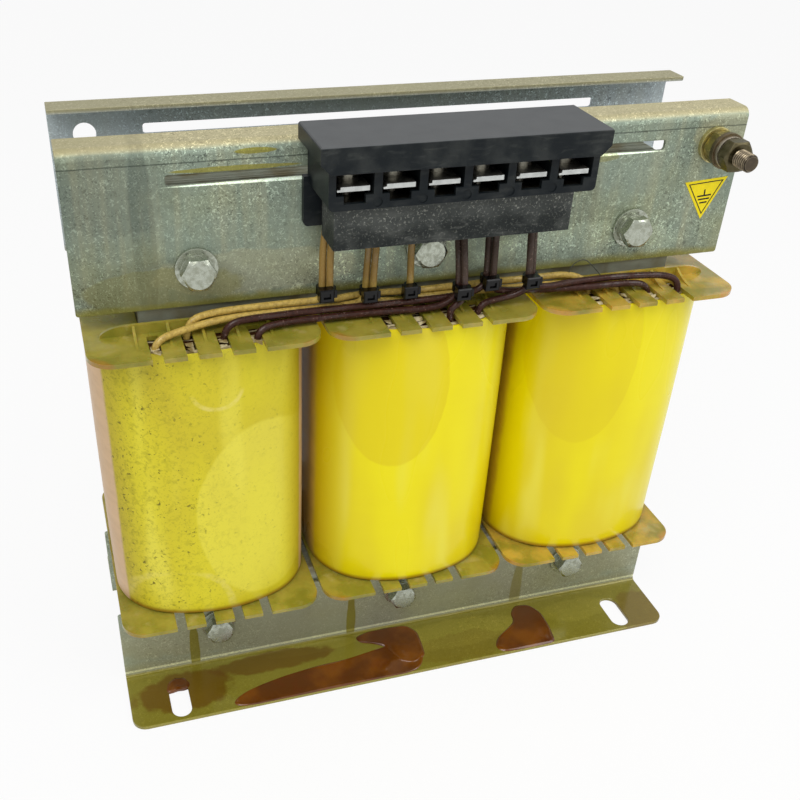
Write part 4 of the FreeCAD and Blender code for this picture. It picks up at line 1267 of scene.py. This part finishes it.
@dataclass
class Clamps(Assembly):
    """Bent clamp sheets above and below, the bolts through them and the varnish dried on the feet."""

    half_length: float = 150.0
    web_corner: float = 1.2
    upper_web: float = 68.0
    upper_flange: float = 16.0
    flange_corner: float = 0.6
    upper_top: float = 280.0
    upper_face: float = -35.0
    lower_web: float = 45.0
    foot: float = 38.0
    foot_corner: float = 7.0
    foot_face: float = -33.0
    foot_top: float = 2.0
    bolt_hole: float = 4.5
    upper_bolt_z: float = 229.0
    lower_bolt_z: float = 29.0
    long_slot: Cut = Cut(0.0, 266.0, 110.0, 2.3, 1.3)
    earth_hole: Cut = Cut(*EARTH, 5.0, 5.0, 5.0)
    foot_slot: Cut = Cut(125.0, 24.5, 5.0, 11.25, 5.0)
    rim_points: int = 144
    rim_at: float = 1.5
    slope: float = 0.8
    waves: float = 0.35
    sunk: float = 0.04
    tongue: tuple[tuple[float, float], ...] = (
        (-101, -68.5), (-97, -63.5), (-86, -59.5), (-70, -56), (-52, -53.5), (-35, -53), (-20, -51), (-8, -49),
        (4, -51), (8, -57), (6, -64), (1, -70.9), (-25, -70.9), (-50, -70.9), (-75, -70.9), (-95, -70.9))
    lobe: tuple[tuple[float, float], ...] = (
        (-17, -46), (-24, -43.5), (-26, -39), (-19, -36.4), (-6, -36.0), (5, -37), (9.5, -43), (9, -52),
        (8, -61), (1, -66), (-7, -63), (-10, -56), (-11, -50))
    right_pool: tuple[tuple[float, float], ...] = (
        (47, -66), (51, -59.5), (59, -54.5), (65.5, -50), (66, -43.5), (71, -38.0), (79.5, -39.5), (83.5, -47),
        (83.5, -58), (81.5, -70.9), (74, -70.9), (58, -70.9), (50, -70.4))
    plug: tuple[tuple[float, float], ...] = (
        (-131, -50), (-129.5, -45), (-125.5, -42.2), (-120.8, -43.3), (-118.4, -47.5), (-119, -50.4),
        (-122, -51.0), (-125, -50.6), (-128, -51.2), (-130.6, -51.4))

    def upper(self) -> BentSheet:
        """Upper clamp: web against the yoke, flange turned in over it.

        Returns:
            The sheet at the front.
        """
        low = self.upper_top - self.upper_web
        bolts = [Cut(x, self.upper_bolt_z, *[self.bolt_hole] * 3) for x in COIL_MIDDLES]
        holes = tuple(replace(cut, s=cut.s - low) for cut in (*bolts, self.long_slot, self.earth_hole))
        return BentSheet(self.half_length, self.upper_web, self.upper_flange,
                         (0.0, self.upper_face, self.upper_top), 1.0, -1.0, self.web_corner, self.flange_corner,
                         holes)

    def lower(self) -> BentSheet:
        """Lower clamp: web against the yoke, foot turned out at the floor.

        Returns:
            The sheet at the front.
        """
        bolt = self.lower_web - self.lower_bolt_z
        holes = tuple(Cut(x, bolt, *[self.bolt_hole] * 3) for x in COIL_MIDDLES)
        sheet = BentSheet(self.half_length, self.lower_web, self.foot, (0.0, self.foot_face, 0.0), -1.0, 1.0,
                          self.web_corner, self.foot_corner, holes)
        slot = self.foot_slot
        slots = tuple(replace(slot, x=x, s=sheet.on_flange(slot.s)) for x in (-slot.x, slot.x))
        return replace(sheet, holes=holes + slots)

    def pool(self, corners: Sequence[tuple[float, float]], bottom: float, deep: float, rim: float,
             seed: int) -> Shape:
        """Patch of dried varnish on the foot.

        The outline is a smooth closed line near the corners. A point at share s of the way from the
        middle to the outline lies d = (1 - s) times that length inside the edge. Its height is
        deep * (1 - exp(-d / slope)) + rim * exp(-((d - rim_at) / slope) ** 2) and slow waves.

        Args:
            corners: Corners of the outline in x and y.
            bottom: Level of the underside.
            deep: Height of the patch.
            rim: Height of its raised rim.
            seed: Seed of the waves.

        Returns:
            The closed shape.
        """
        line = np.array(corners, float)
        step = np.hypot(*(np.roll(line, -1, 0) - line).T)
        along = np.concatenate([[0.0], np.cumsum(step)])
        at = np.linspace(0, along[-1], self.rim_points, endpoint=False)
        line = np.stack([np.interp(at, along, np.append(line[:, k], line[0, k])) for k in (0, 1)], -1)
        for _ in range(3):
            line = np.mean([np.roll(line, shift, 0) for shift in (2, 1, 0, -1, -2)], 0)
        middle = line.mean(0)
        share = np.array([1, 1, 0.995, 0.985, 0.97, 0.95, 0.925, 0.9, 0.87, 0.83, 0.78, 0.7, 0.6, 0.45,
                          0.3, 0.15, 0.03])[:, None]
        x, y = (middle[k] + (line[:, k] - middle[k]) * share for k in (0, 1))
        inside = (1 - share) * np.hypot(*(line - middle).T)
        height = (deep * (1 - np.exp(-inside / self.slope))
                  + rim * np.exp(-((inside - self.rim_at) / self.slope) ** 2)
                  + ripple(x / 9, y / 6, seed) * deep * self.waves * (1 - np.exp(-inside / 3)))
        z = self.foot_top - self.sunk + height
        z[0] = bottom
        return Shape.rings(np.stack([x, y, z], -1))

    def build(self) -> None:
        """Bend the four sheets, dress their fasteners and lay the varnish."""
        for level, sheet, front, rear in (("upper", self.upper(), Look.CLAMP_FRONT, Look.CLAMP_REAR),
                                          ("lower", self.lower(), Look.FOOT_FRONT, Look.FOOT_REAR)):
            for side, look in (("front", front), ("rear", rear)):
                piece = sheet.shape(side == "rear").mesh(f"{level}_sheet_{side}")
                self.place(piece, look, "galvanised_sheet", [f"{level}_clamp_{side}"])
        self.dress(Look.ZINC, 0.2, "upper_yoke_bolts", "lower_yoke_bolts", "yoke_nuts", "yoke_flat_washers",
                   "yoke_spring_washers")
        self.dress(Look.FIBRE, 0.0, "bolt_insulating_sleeves")
        for name, corners, *levels, seed in (("varnish_tongue", self.tongue, 1.0, 0.55, 0.22, 4),
                                             ("varnish_lobe", self.lobe, 1.0, 0.75, 0.25, 6),
                                             ("varnish_pool_right", self.right_pool, 1.0, 0.7, 0.25, 8),
                                             ("varnish_plug", self.plug, 0.5, 0.35, 0.25, 10)):
            self.place(self.pool(corners, *levels, seed).mesh(name, 60.0), Look.POOL, "galvanised_sheet")


@dataclass
class Coils(Assembly):
    """Bobbins with their windings, wrapped in film."""

    half: float = 47.5
    side_flat: float = 20.0
    front_radius: float = 72.0
    low: float = 56.5
    high: float = 201.0
    skin: float = 0.75
    swell: float = 0.35
    rows: int = 26
    side_points: int = 6
    scrap_thickness: float = 0.22
    reaches: tuple[float, ...] = (55.5, 57.5, 56.5)
    sides: tuple[tuple[str, Look, Look], ...] = (
        ("left", Look.FILM_LEFT, Look.BOBBIN_LEFT), ("centre", Look.FILM_CENTRE, Look.BOBBIN_CENTRE),
        ("right", Look.FILM_RIGHT, Look.BOBBIN_RIGHT))
    scrap_rows: tuple[tuple[float, float, float, float, float, int], ...] = (
        (0.0, 47.5, 0.9, 3.6, 4.2, 0), (0.3, 52.0, 0.7, 3.2, 2.6, 5))

    def section(self, reach: float, count: int = 34) -> tuple[Array, Array]:
        """Outline of a coil from above and its outward directions.

        One quarter is a flat side, a corner arc and a part of the large front arc, which meet
        without a kink: the corner's radius c fits (large - c) ** 2 = (half - c) ** 2 + (large - rise) ** 2.
        The other quarters mirror it.

        Args:
            reach: Distance of the fullest place of the front from the middle.
            count: Points on each arc.

        Returns:
            Points and unit normals, each points by two.
        """
        rise = reach - self.side_flat
        large = self.front_radius
        corner = (large ** 2 - self.half ** 2 - (large - rise) ** 2) / (2 * (large - self.half))
        cx = self.half - corner
        away = math.atan2(self.side_flat + large - reach, cx)
        turn = np.concatenate([np.zeros(self.side_points), np.linspace(0, away, count)[1:],
                               np.linspace(away, math.pi / 2, count)[1:]])
        normal = np.stack([np.cos(turn), np.sin(turn)], -1)
        start = np.concatenate([np.linspace(0.5, self.side_flat, self.side_points),
                                np.full(2 * count - 2, self.side_flat)])
        arc = np.arange(len(turn)) >= self.side_points - 1 + count
        middle = np.stack([np.where(arc, 0.0, cx), np.where(arc, reach - large, start)], -1)
        quarter = middle + normal * np.where(arc, large, corner)[:, None]
        mirror = np.array([-1.0, 1.0])
        upper = [np.concatenate([q, (q * mirror)[-2::-1]]) for q in (quarter, normal)]
        whole = [np.concatenate([h, (h * -mirror)[::-1]]) for h in upper]
        return whole[0], whole[1]

    def wrap(self, middle: float, reach: float, seed: int) -> Shape:
        """Film round one coil: its section carried round a thin upright profile.

        The profile runs up the outside, over the rolled upper edge, down the inside and round the
        lower edge. Outside it swells by swell * sin(pi * v), with slow waves round and along it.

        Args:
            middle: x of the coil's axis.
            reach: Distance of its front from the axis.
            seed: Seed of the waves.

        Returns:
            The closed shape.
        """
        line, normal = self.section(reach)
        v = np.linspace(0, 1, self.rows)
        tall = self.high - self.low
        roll = np.array([0.13, 0.5, 0.87, 1.0])
        up = np.concatenate([v * (tall - 1.0) + 0.5, tall - np.array([0.15, 0.0, 0.15, 0.5]),
                             [0.5, 0.15, 0.0, 0.15]])
        out = np.concatenate([np.zeros(self.rows), -roll, -roll[::-1]])
        swell = np.concatenate([self.swell * np.sin(np.pi * v), np.zeros(2 * len(roll))])
        around = np.linspace(0, 2 * np.pi, len(line), endpoint=False)
        upright = up[:, None]
        waves = ripple(np.cos(around) * 3 + np.zeros_like(upright), upright / 22 + np.sin(around) * 2, seed)
        shift = out[:, None] * self.skin + swell[:, None] * (0.55 + 0.45 * waves)
        edge_wave = (1 + ripple(np.cos(around) * 6, np.sin(around) * 6, seed + 50)) * 0.25
        height = self.low + upright + np.where(upright > tall / 2, -1.0, 1.0) * edge_wave * (
            np.abs(upright / tall - 0.5) * 2) ** 12
        x = middle + line[None, :, 0] + normal[None, :, 0] * shift
        y = line[None, :, 1] + normal[None, :, 1] * shift
        return Shape.rings(np.stack([x, y, height], -1), tube=True)

    def scrap(self, x: float, y: float, z: float, wide: float, long: float, seed: int) -> Shape:
        """Crumpled tongue of paper: a strip that arches by sin(pi * v) and twists along v.

        Args:
            x: Place of its middle.
            y: Place of its inner end.
            z: Height of its foot.
            wide: Width.
            long: Length, negative towards the front.
            seed: Seed of its crumple.

        Returns:
            The closed shape.
        """
        draw = np.random.default_rng(seed)
        u, v = np.meshgrid(np.linspace(-0.5, 0.5, 5), np.linspace(0, 1, 8))
        twist = draw.normal(0, 0.5) * v
        arch = draw.uniform(0.2, 1.1) * np.sin(np.pi * v * draw.uniform(0.6, 1.1))
        px = x + u * wide * np.cos(twist) + draw.normal(0, 0.3)
        py = y + v * long + ripple(u * 4, v * 4, seed) * 0.3
        pz = z + arch + u * wide * np.sin(twist) + ripple(u * 6, v * 5, seed + 1) * 0.3
        top = np.stack([px, py, pz], -1)
        return Shape.between(top, top - np.array([0.0, 0.0, self.scrap_thickness]))

    def build(self) -> None:
        """Dress the bobbins and windings, wrap the coils and lay the paper in the slots."""
        for number, ((side, film, nylon), middle, reach) in enumerate(zip(self.sides, COIL_MIDDLES,
                                                                          self.reaches)):
            self.dress(nylon, 0.25, f"bobbin_{side}")
            self.dress(Look.COPPER, 0.0, f"inner_winding_{side}", f"outer_winding_{side}")
            self.dress(Look.PAPER, 0.0, f"layer_insulation_{side}", f"outer_paper_{side}")
            self.place(self.wrap(middle, reach, number + 20).mesh(f"film_wrap_{side}", 50.0), film,
                       "yellow_film", [f"coil_wrap_{side}"])
            scraps = []
            for k, offset in enumerate(SLOT_OFFSETS):
                for face in (-1, 1):
                    for aside, out, up, wide, long, extra in self.scrap_rows:
                        scraps.append(self.scrap(middle + offset * SLOT_PITCH + aside, face * out, self.high + up,
                                                 wide, face * long, number * 100 + k * 10 + face + 1 + extra))
            self.place(Shape.joined(scraps).mesh(f"slot_paper_{side}", 60.0), Look.PAPER, "insulation_paper")


@dataclass
class TerminalBlock(Assembly):
    """Six-pole terminal block with its lid and lead guard."""

    parts: tuple[tuple[Look, float, str], ...] = (
        (Look.BLOCK, 0.25, "terminal_block_body"), (Look.CAP, 0.4, "terminal_block_cap"),
        (Look.GUARD, 0.3, "terminal_lead_guard"), (Look.BAR, 0.2, "terminal_bars"),
        (Look.PLATE, 0.2, "terminal_clamp_plates"), (Look.BRASS, 0.0, "terminal_screws"),
        (Look.ZINC, 0.0, "block_fixing_screws"), (Look.ZINC, 0.0, "block_fixing_washers"))

    def build(self) -> None:
        """Dress the mouldings and the metal parts."""
        for part in self.parts:
            self.dress(*part)


@dataclass
class EarthPoint(Assembly):
    """Earth stud with its thread, and its mark."""

    middle: tuple[float, float] = EARTH
    tip: float = -63.0
    free: float = -54.4
    rear: float = -21.3
    radius: float = 4.0
    held: float = 3.6
    pitch: float = 1.25
    thread_depth: float = 0.6
    chamfer: float = 0.8
    run_out: float = 0.5
    steps: int = 8
    sides: int = 40
    label_x: float = 136.2
    label_top: float = 248.7
    label_height: float = 19.0
    label_half: float = 11.0
    label_turn: float = 4.0
    label_face: float = -35.2
    ink: float = 0.05
    border: tuple[float, float] = (1.15, 1.6)
    bars: tuple[tuple[float, float, float, float], ...] = (
        (-0.35, 0.35, -7.4, -4.7), (-3.6, 3.6, -8.0, -7.3), (-2.9, 2.9, -9.6, -8.9), (-1.9, 1.9, -11.3, -10.6))

    def thread(self) -> Shape:
        """Stud with a helical thread on its free end.

        On the free end the radius is the outer one less the depth times |2 * f - 1|, where f is
        the fractional part of y / pitch - turn / (2 * pi), and it falls with the chamfer at the tip.

        Returns:
            The closed shape.
        """
        end = self.free + self.run_out
        y = np.concatenate([np.arange(self.tip, end - 0.2, self.pitch / self.steps), [end, self.rear]])
        turn = np.linspace(0, 2 * np.pi, self.sides, endpoint=False)
        yy, tt = np.meshgrid(y, turn, indexing="ij")
        wave = np.abs(2 * np.mod(yy / self.pitch - tt / (2 * np.pi), 1.0) - 1)
        r = self.radius - self.thread_depth * wave
        r = np.minimum(r, self.radius - self.chamfer + (yy - self.tip))
        r = np.where(yy > end - 0.15, self.held, r)
        x, z = self.middle
        return Shape.rings(np.stack([x + r * np.cos(tt), yy, z + r * np.sin(tt)], -1))

    def print_marks(self) -> Shape:
        """Inner border of the label and the earth symbol: a stem and three bars that grow shorter.

        A triangle whose sides move in by a gap has its top lower by the gap and its tip higher by the gap
        times side / half. The print is then turned with the label about its middle.

        Returns:
            The print, laid on the turned label.
        """
        half, tall = self.label_half, self.label_height
        side = math.hypot(half, tall)
        loops = []
        for gap in self.border:
            top = -gap
            tip = -tall + gap * side / half
            wide = (top - tip) * half / tall
            loops.append([(-wide, top), (wide, top), (0.0, tip)])
        back, front = self.label_face, self.label_face - self.ink
        outer, inner = np.array(loops)
        border = [np.stack([p[:, 0], np.full(3, y), p[:, 1]], -1)
                  for p, y in ((outer, back), (inner, back), (inner, front), (outer, front))]
        shapes = [Shape.rings(np.array(border), tube=True)]
        for x0, x1, z0, z1 in self.bars:
            shapes.append(Shape.prism(np.array([(x0, z0), (x1, z0), (x1, z1), (x0, z1)]), front, back))
        marks = Shape.joined(shapes)
        t = math.radians(self.label_turn)
        x, z = marks.points[:, 0].copy(), marks.points[:, 2] + tall / 2
        marks.points[:, 0] = self.label_x + x * math.cos(t) - z * math.sin(t)
        marks.points[:, 2] = self.label_top - tall / 2 + x * math.sin(t) + z * math.cos(t)
        return marks

    def build(self) -> None:
        """Cut the thread, dress the nuts and washers, and print the label."""
        self.place(self.thread().mesh("threaded_stud", 40.0), Look.STUD, "passivated_steel", ["earth_stud"])
        self.dress(Look.PASSIVATED, 0.2, "earth_nuts")
        self.dress(Look.PASSIVATED_RING, 0.2, "earth_flat_washers")
        self.dress(Look.SPRING_RING, 0.2, "earth_spring_washer")
        self.dress(Look.LABEL, 0.0, "earth_label")
        self.place(self.print_marks().mesh("earth_mark"), Look.PRINT, "label_yellow")


@dataclass(frozen=True)
class Tie:
    """Place of a cable tie round one lead or a pair of them."""

    x: float
    y: float
    z: float
    turn: float | None
    guard_x: float


@dataclass
class Harness(Assembly):
    """Leads from the coils to the terminals, tied in pairs. The routes repeat those of the solids."""

    radius: float = 1.4
    sleeve: float = 1.55
    fibre_radius: float = 0.22
    fibre: tuple[Point, ...] = (
        (69, -41, 210.5), (68.6, -41, 215), (75, -41.4, 219), (81, -41, 214), (87, -40.6, 207.6))
    pair_gap: float = 0.45
    riser_y: float = -40.9
    riser_end_y: float = -41.1
    riser_run: float = 4.0
    tie_approach: float = 4.8
    guard_low: float = 241.7
    lead_top: float = 261.8
    start: float = 201.6
    ties: tuple[Tie, ...] = (
        Tie(-46.9, -42.9, 217.0, -32.0, -46.3), Tie(-27.5, -42.6, 214.4, -35.0, -26.1),
        Tie(-9.3, -43.6, 214.4, None, -9.0), Tie(11.8, -50.8, 215.2, 120.0, 13.4),
        Tie(26.6, -46.8, 216.2, -48.0, 28.4), Tie(44.4, -50.2, 216.6, 40.0, 47.2))
    poles: tuple[float, ...] = (-42.75, -24.35, -5.95, 12.45, 30.85, 49.25)
    low: tuple[float, float] = (-41.8, 208.3)
    high: tuple[float, float] = (-40.2, 211.0)
    brown_low: tuple[float, float] = (-47.6, 206.0)
    brown_high: tuple[float, float] = (-46.6, 209.0)

    def riser(self, number: int, side: int) -> list[Point]:
        """Points of one lead from its tie up to its terminal bar.

        Args:
            number: Number of the tie and of its pole.
            side: -1 or 1 for one lead of a pair, 0 for a single lead.

        Returns:
            The points, in millimetres.
        """
        tie = self.ties[number]
        reach = side * (self.radius + self.pair_gap / 2)
        turn = math.radians(tie.turn or 0.0)
        dx, dy = reach * math.cos(turn), reach * math.sin(turn)
        pole = self.poles[number]
        return [(tie.x + dx, tie.y + dy, tie.z - self.tie_approach),
                (tie.x + dx, tie.y + dy, tie.z + self.tie_approach),
                (tie.guard_x + dx, self.riser_y + dy, self.guard_low - self.riser_run),
                (pole + dx, self.riser_end_y + dy, self.lead_top - self.riser_run),
                (pole + dx, self.riser_end_y + dy, self.lead_top)]

    def routes(self) -> dict[str, list[Point]]:
        """Route of every lead from its slot in a cheek to its terminal.

        Returns:
            Points in millimetres by node.
        """
        s = self.start
        (ay, az), (by, bz) = self.low, self.high
        (cy, cz), (dy, dz) = self.brown_low, self.brown_high
        left, centre, right = ([middle + offset * SLOT_PITCH for offset in SLOT_OFFSETS]
                               for middle in COIL_MIDDLES)
        x1, x2, x3, x4 = left
        routes = {
            "ochre_lead_1": [
                (x1, -50.0, s), (x1 + 0.6, -49.6, 205.6), (x1 + 13, -46.2, 207.4), (x1 + 30, ay, az),
                (-66, ay, az + 0.2), (-36, ay - 0.3, az)] + self.riser(1, -1),
            "ochre_lead_2": [
                (x2, -43.2, s), (x2 + 0.5, -42.9, 208.8), (x2 + 10, -40.6, bz), (-72, by, bz + 0.3),
                (-55, by - 0.4, bz + 0.4)] + self.riser(0, -1),
            "brown_lead_1": [
                (x4 + 0.5, -50.6, s), (x4 + 1.2, -50.2, 205.8), (x4 + 11, cy - 0.4, cz + 0.6),
                (-44, cy + 0.1, cz + 0.5), (-16, cy, cz), (1.5, -49.4, cz)] + self.riser(3, 1),
            "brown_lead_2": [
                (x3 + 0.8, -48.0, s), (x3 + 1.4, -48.2, 209.2), (x3 + 17, dy + 0.1, dz + 0.4),
                (-46, dy + 0.3, dz + 0.6), (-14, dy + 0.2, dz), (12, dy + 0.3, dz + 0.2)] + self.riser(4, -1),
        }
        _, x2, x3, x4 = centre
        routes["ochre_lead_4"] = [
            (x2, -43.2, s), (x2 - 1.5, -42.8, 206.6), (x2 - 10, ay - 0.2, az)] + self.riser(1, 1)
        routes["brown_lead_3"] = [
            (x3, -53.0, s), (x3 - 0.8, -53.4, 206.0), (x3 + 2.0, -53.6, 209.0)] + self.riser(3, -1)
        routes["brown_lead_4"] = [
            (x4, -50.4, s), (x4 + 0.8, -50.2, 206.2), (x4 + 10, -49.8, 207.4),
            (38, -50.6, 208.8)] + self.riser(5, -1)
        x1, x2, x3, x4 = right
        routes["ochre_lead_3"] = [
            (x1, -43.2, s), (x1 - 0.5, -42.8, 207.2), (x1 - 9, by - 0.2, bz + 0.3), (50, by, bz),
            (20, by + 0.2, bz + 0.2), (-6, by, bz), (-20, by + 1.4, bz),
            (-34, by + 1.4, bz + 0.2)] + self.riser(0, 1)
        routes["ochre_lead_5"] = [
            (x2, -45.0, s), (x2 - 1, -45.0, 205.8), (x2 - 13, -46.1, 207.3), (x2 - 27, -43.2, az),
            (34, ay, az), (4, ay, az + 0.1)] + self.riser(2, 0)
        routes["brown_lead_5"] = [
            (x3, -49.0, s), (x3 - 1, -49.0, 206.4), (x3 - 14, -49.4, 208.2), (78, -49.5, 208.1),
            (62, -47.8, 207.9), (48, -47.1, 208.8), (37, -46.8, 209.3)] + self.riser(4, 1)
        routes["brown_lead_6"] = [
            (x4, -51.4, s), (x4 + 0.6, -51.2, 206.6), (x4 - 6, -49.2, 210.0), (x4 - 24, -47.1, 210.4),
            (78, -47.0, 210.6), (64, -48.4, 210.9), (54, -49.6, 210.6)] + self.riser(5, 1)
        return routes

    def tube(self, name: str, points: Sequence[Point], radius: float) -> bpy.types.Object:
        """Round lead: a circle carried along one quadratic spline that the chosen points pull.

        Args:
            name: Name of the piece.
            points: Control points in millimetres.
            radius: Radius in millimetres.

        Returns:
            The lead as a mesh.
        """
        curve = bpy.data.curves.new(name + "_line", "CURVE")
        curve.dimensions = "3D"
        curve.bevel_depth = radius * MM
        curve.bevel_resolution = 3
        curve.resolution_u = 6
        curve.use_fill_caps = True
        spline = curve.splines.new("NURBS")
        spline.points.add(len(points) - 1)
        for point, place in zip(spline.points, points):
            point.co = (*(c * MM for c in place), 1.0)
        spline.order_u = 3
        spline.use_endpoint_u = True
        line = bpy.data.objects.new(name + "_line", curve)
        data = bpy.data.meshes.new_from_object(line)
        bpy.data.objects.remove(line)
        data.shade_smooth()
        return put(name + "_sleeve", data)

    def build(self) -> None:
        """Lay the leads and dress the ties."""
        for name, points in self.routes().items():
            ochre = name.startswith("ochre")
            self.place(self.tube(name, points, self.sleeve), Look.OCHRE if ochre else Look.BROWN,
                       "ochre_sleeving" if ochre else "brown_sleeving", [name])
        self.place(self.tube("stray_fibre", self.fibre, self.fibre_radius), Look.HAIR, "tie_nylon")
        self.dress(Look.TIE, 0.2, "cable_ties")


@dataclass
class Studio:
    """Camera, lights, floor and backdrop. The camera was solved from the photograph."""

    eye: Point = (-154.077, -415.324, 402.481)
    yaw: float = 17.787
    pitch: float = -34.5
    roll: float = 2.001
    focal_pixels: float = 1002.558
    axis_pixel: tuple[float, float] = (348.022, 447.933)
    frame_pixels: float = 800.0
    sensor: float = 36.0
    fill: float = 0.62
    floor_half: float = 6000.0
    floor_white: float = 0.90
    floor_tone: Colour = (0.86, 0.86, 0.86)
    aim: Point = (0.0, 0.0, 140.0)
    clip: tuple[float, float] = (10.0, 50000.0)
    lamps: tuple[tuple[Point, float, float], ...] = (
        ((-500.0, -700.0, 1300.0), 900.0, 9.0), ((700.0, -500.0, 900.0), 700.0, 4.0))

    def camera(self) -> None:
        """Place the camera: its three axes from yaw, pitch and roll, the lens shift from the axis pixel."""
        y, p, r = (math.radians(a) for a in (self.yaw, self.pitch, self.roll))
        ahead = Vector((math.sin(y) * math.cos(p), math.cos(y) * math.cos(p), math.sin(p)))
        across = Vector((math.cos(y), -math.sin(y), 0.0))
        up = across.cross(ahead)
        side = across * math.cos(r) + up * math.sin(r)
        top = up * math.cos(r) - across * math.sin(r)
        data = bpy.data.cameras.new("photo_camera")
        data.sensor_width = self.sensor
        data.lens = self.focal_pixels / self.frame_pixels * self.sensor
        data.shift_x = 0.5 - self.axis_pixel[0] / self.frame_pixels
        data.shift_y = self.axis_pixel[1] / self.frame_pixels - 0.5
        data.clip_start, data.clip_end = (c * MM for c in self.clip)
        made = put("photo_camera", data)
        turn = Matrix((side, top, -ahead)).transposed().to_4x4()
        made.matrix_world = Matrix.Translation(Vector(self.eye) * MM) @ turn
        bpy.context.scene.camera = made

    def lights(self) -> None:
        """Hang the soft lamps, each a square that faces the transformer."""
        aim = Vector(self.aim) * MM
        for number, (place, size, power) in enumerate(self.lamps):
            data = bpy.data.lights.new(f"softbox_{number}", "AREA")
            data.size = size * MM
            data.energy = power
            at = Vector(place) * MM
            turn = (aim - at).to_track_quat("-Z", "Y").to_matrix().to_4x4()
            put(f"softbox_{number}", data).matrix_world = Matrix.Translation(at) @ turn

    @staticmethod
    def seen(tree: Tree) -> Field:
        """1 for what the camera sees, straight or in a reflection, and 0 for the rest of the light."""
        path = tree.node("ShaderNodeLightPath", {}, {})
        return Field(tree, path.outputs["Is Camera Ray"]).most(Field(tree, path.outputs["Is Glossy Ray"]))

    def world(self) -> None:
        """White to the camera and in reflections, a plain pale level as light."""
        world = bpy.data.worlds.new("studio")
        tree = Tree(world)
        level = tree.node("ShaderNodeMapRange", {}, {"Value": self.seen(tree), "To Min": self.fill, "To Max": 1.0})
        back = tree.node("ShaderNodeBackground", {}, {"Strength": level.outputs[0]})
        tree.node("ShaderNodeOutputWorld", {}, {"Surface": back.outputs[0]})
        bpy.context.scene.world = world

    def floor(self) -> None:
        """Pale floor that is white to the camera and keeps the transformer's shadow."""
        half = self.floor_half
        points = np.array([(-half, -half, 0), (half, -half, 0), (half, half, 0), (-half, half, 0)], float)
        floor = Shape(points, [[0, 1, 2, 3]]).mesh("floor")
        shader = Shader("floor_paper")
        shader.set(Base_Color=self.floor_tone, Roughness=0.9, Specular_IOR_Level=0.1)
        white = shader.node("ShaderNodeEmission", {}, {"Color": (1.0, 1.0, 1.0), "Strength": 1.0})
        mixed = shader.node("ShaderNodeMixShader", {}, {0: self.seen(shader) * self.floor_white,
                                                        1: shader.surface.outputs[0], 2: white.outputs[0]})
        shader.feed(shader.out.inputs["Surface"], mixed.outputs[0])
        floor.data.materials.append(shader.material)

    def build(self) -> None:
        """Set up the studio."""
        self.camera()
        self.lights()
        self.world()
        self.floor()
        bpy.context.scene.view_settings.view_transform = "Standard"
        LOG.info("studio ready")


def main() -> None:
    """Load the frame, build each sub-assembly and set up the studio."""
    logging.basicConfig(level=logging.INFO, format="%(name)s %(message)s")
    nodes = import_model()["nodes"]
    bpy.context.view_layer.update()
    for part in (Core, Clamps, Coils, TerminalBlock, EarthPoint, Harness):
        part(nodes).build()
    Studio().build()


if __name__ == "__main__":
    main()
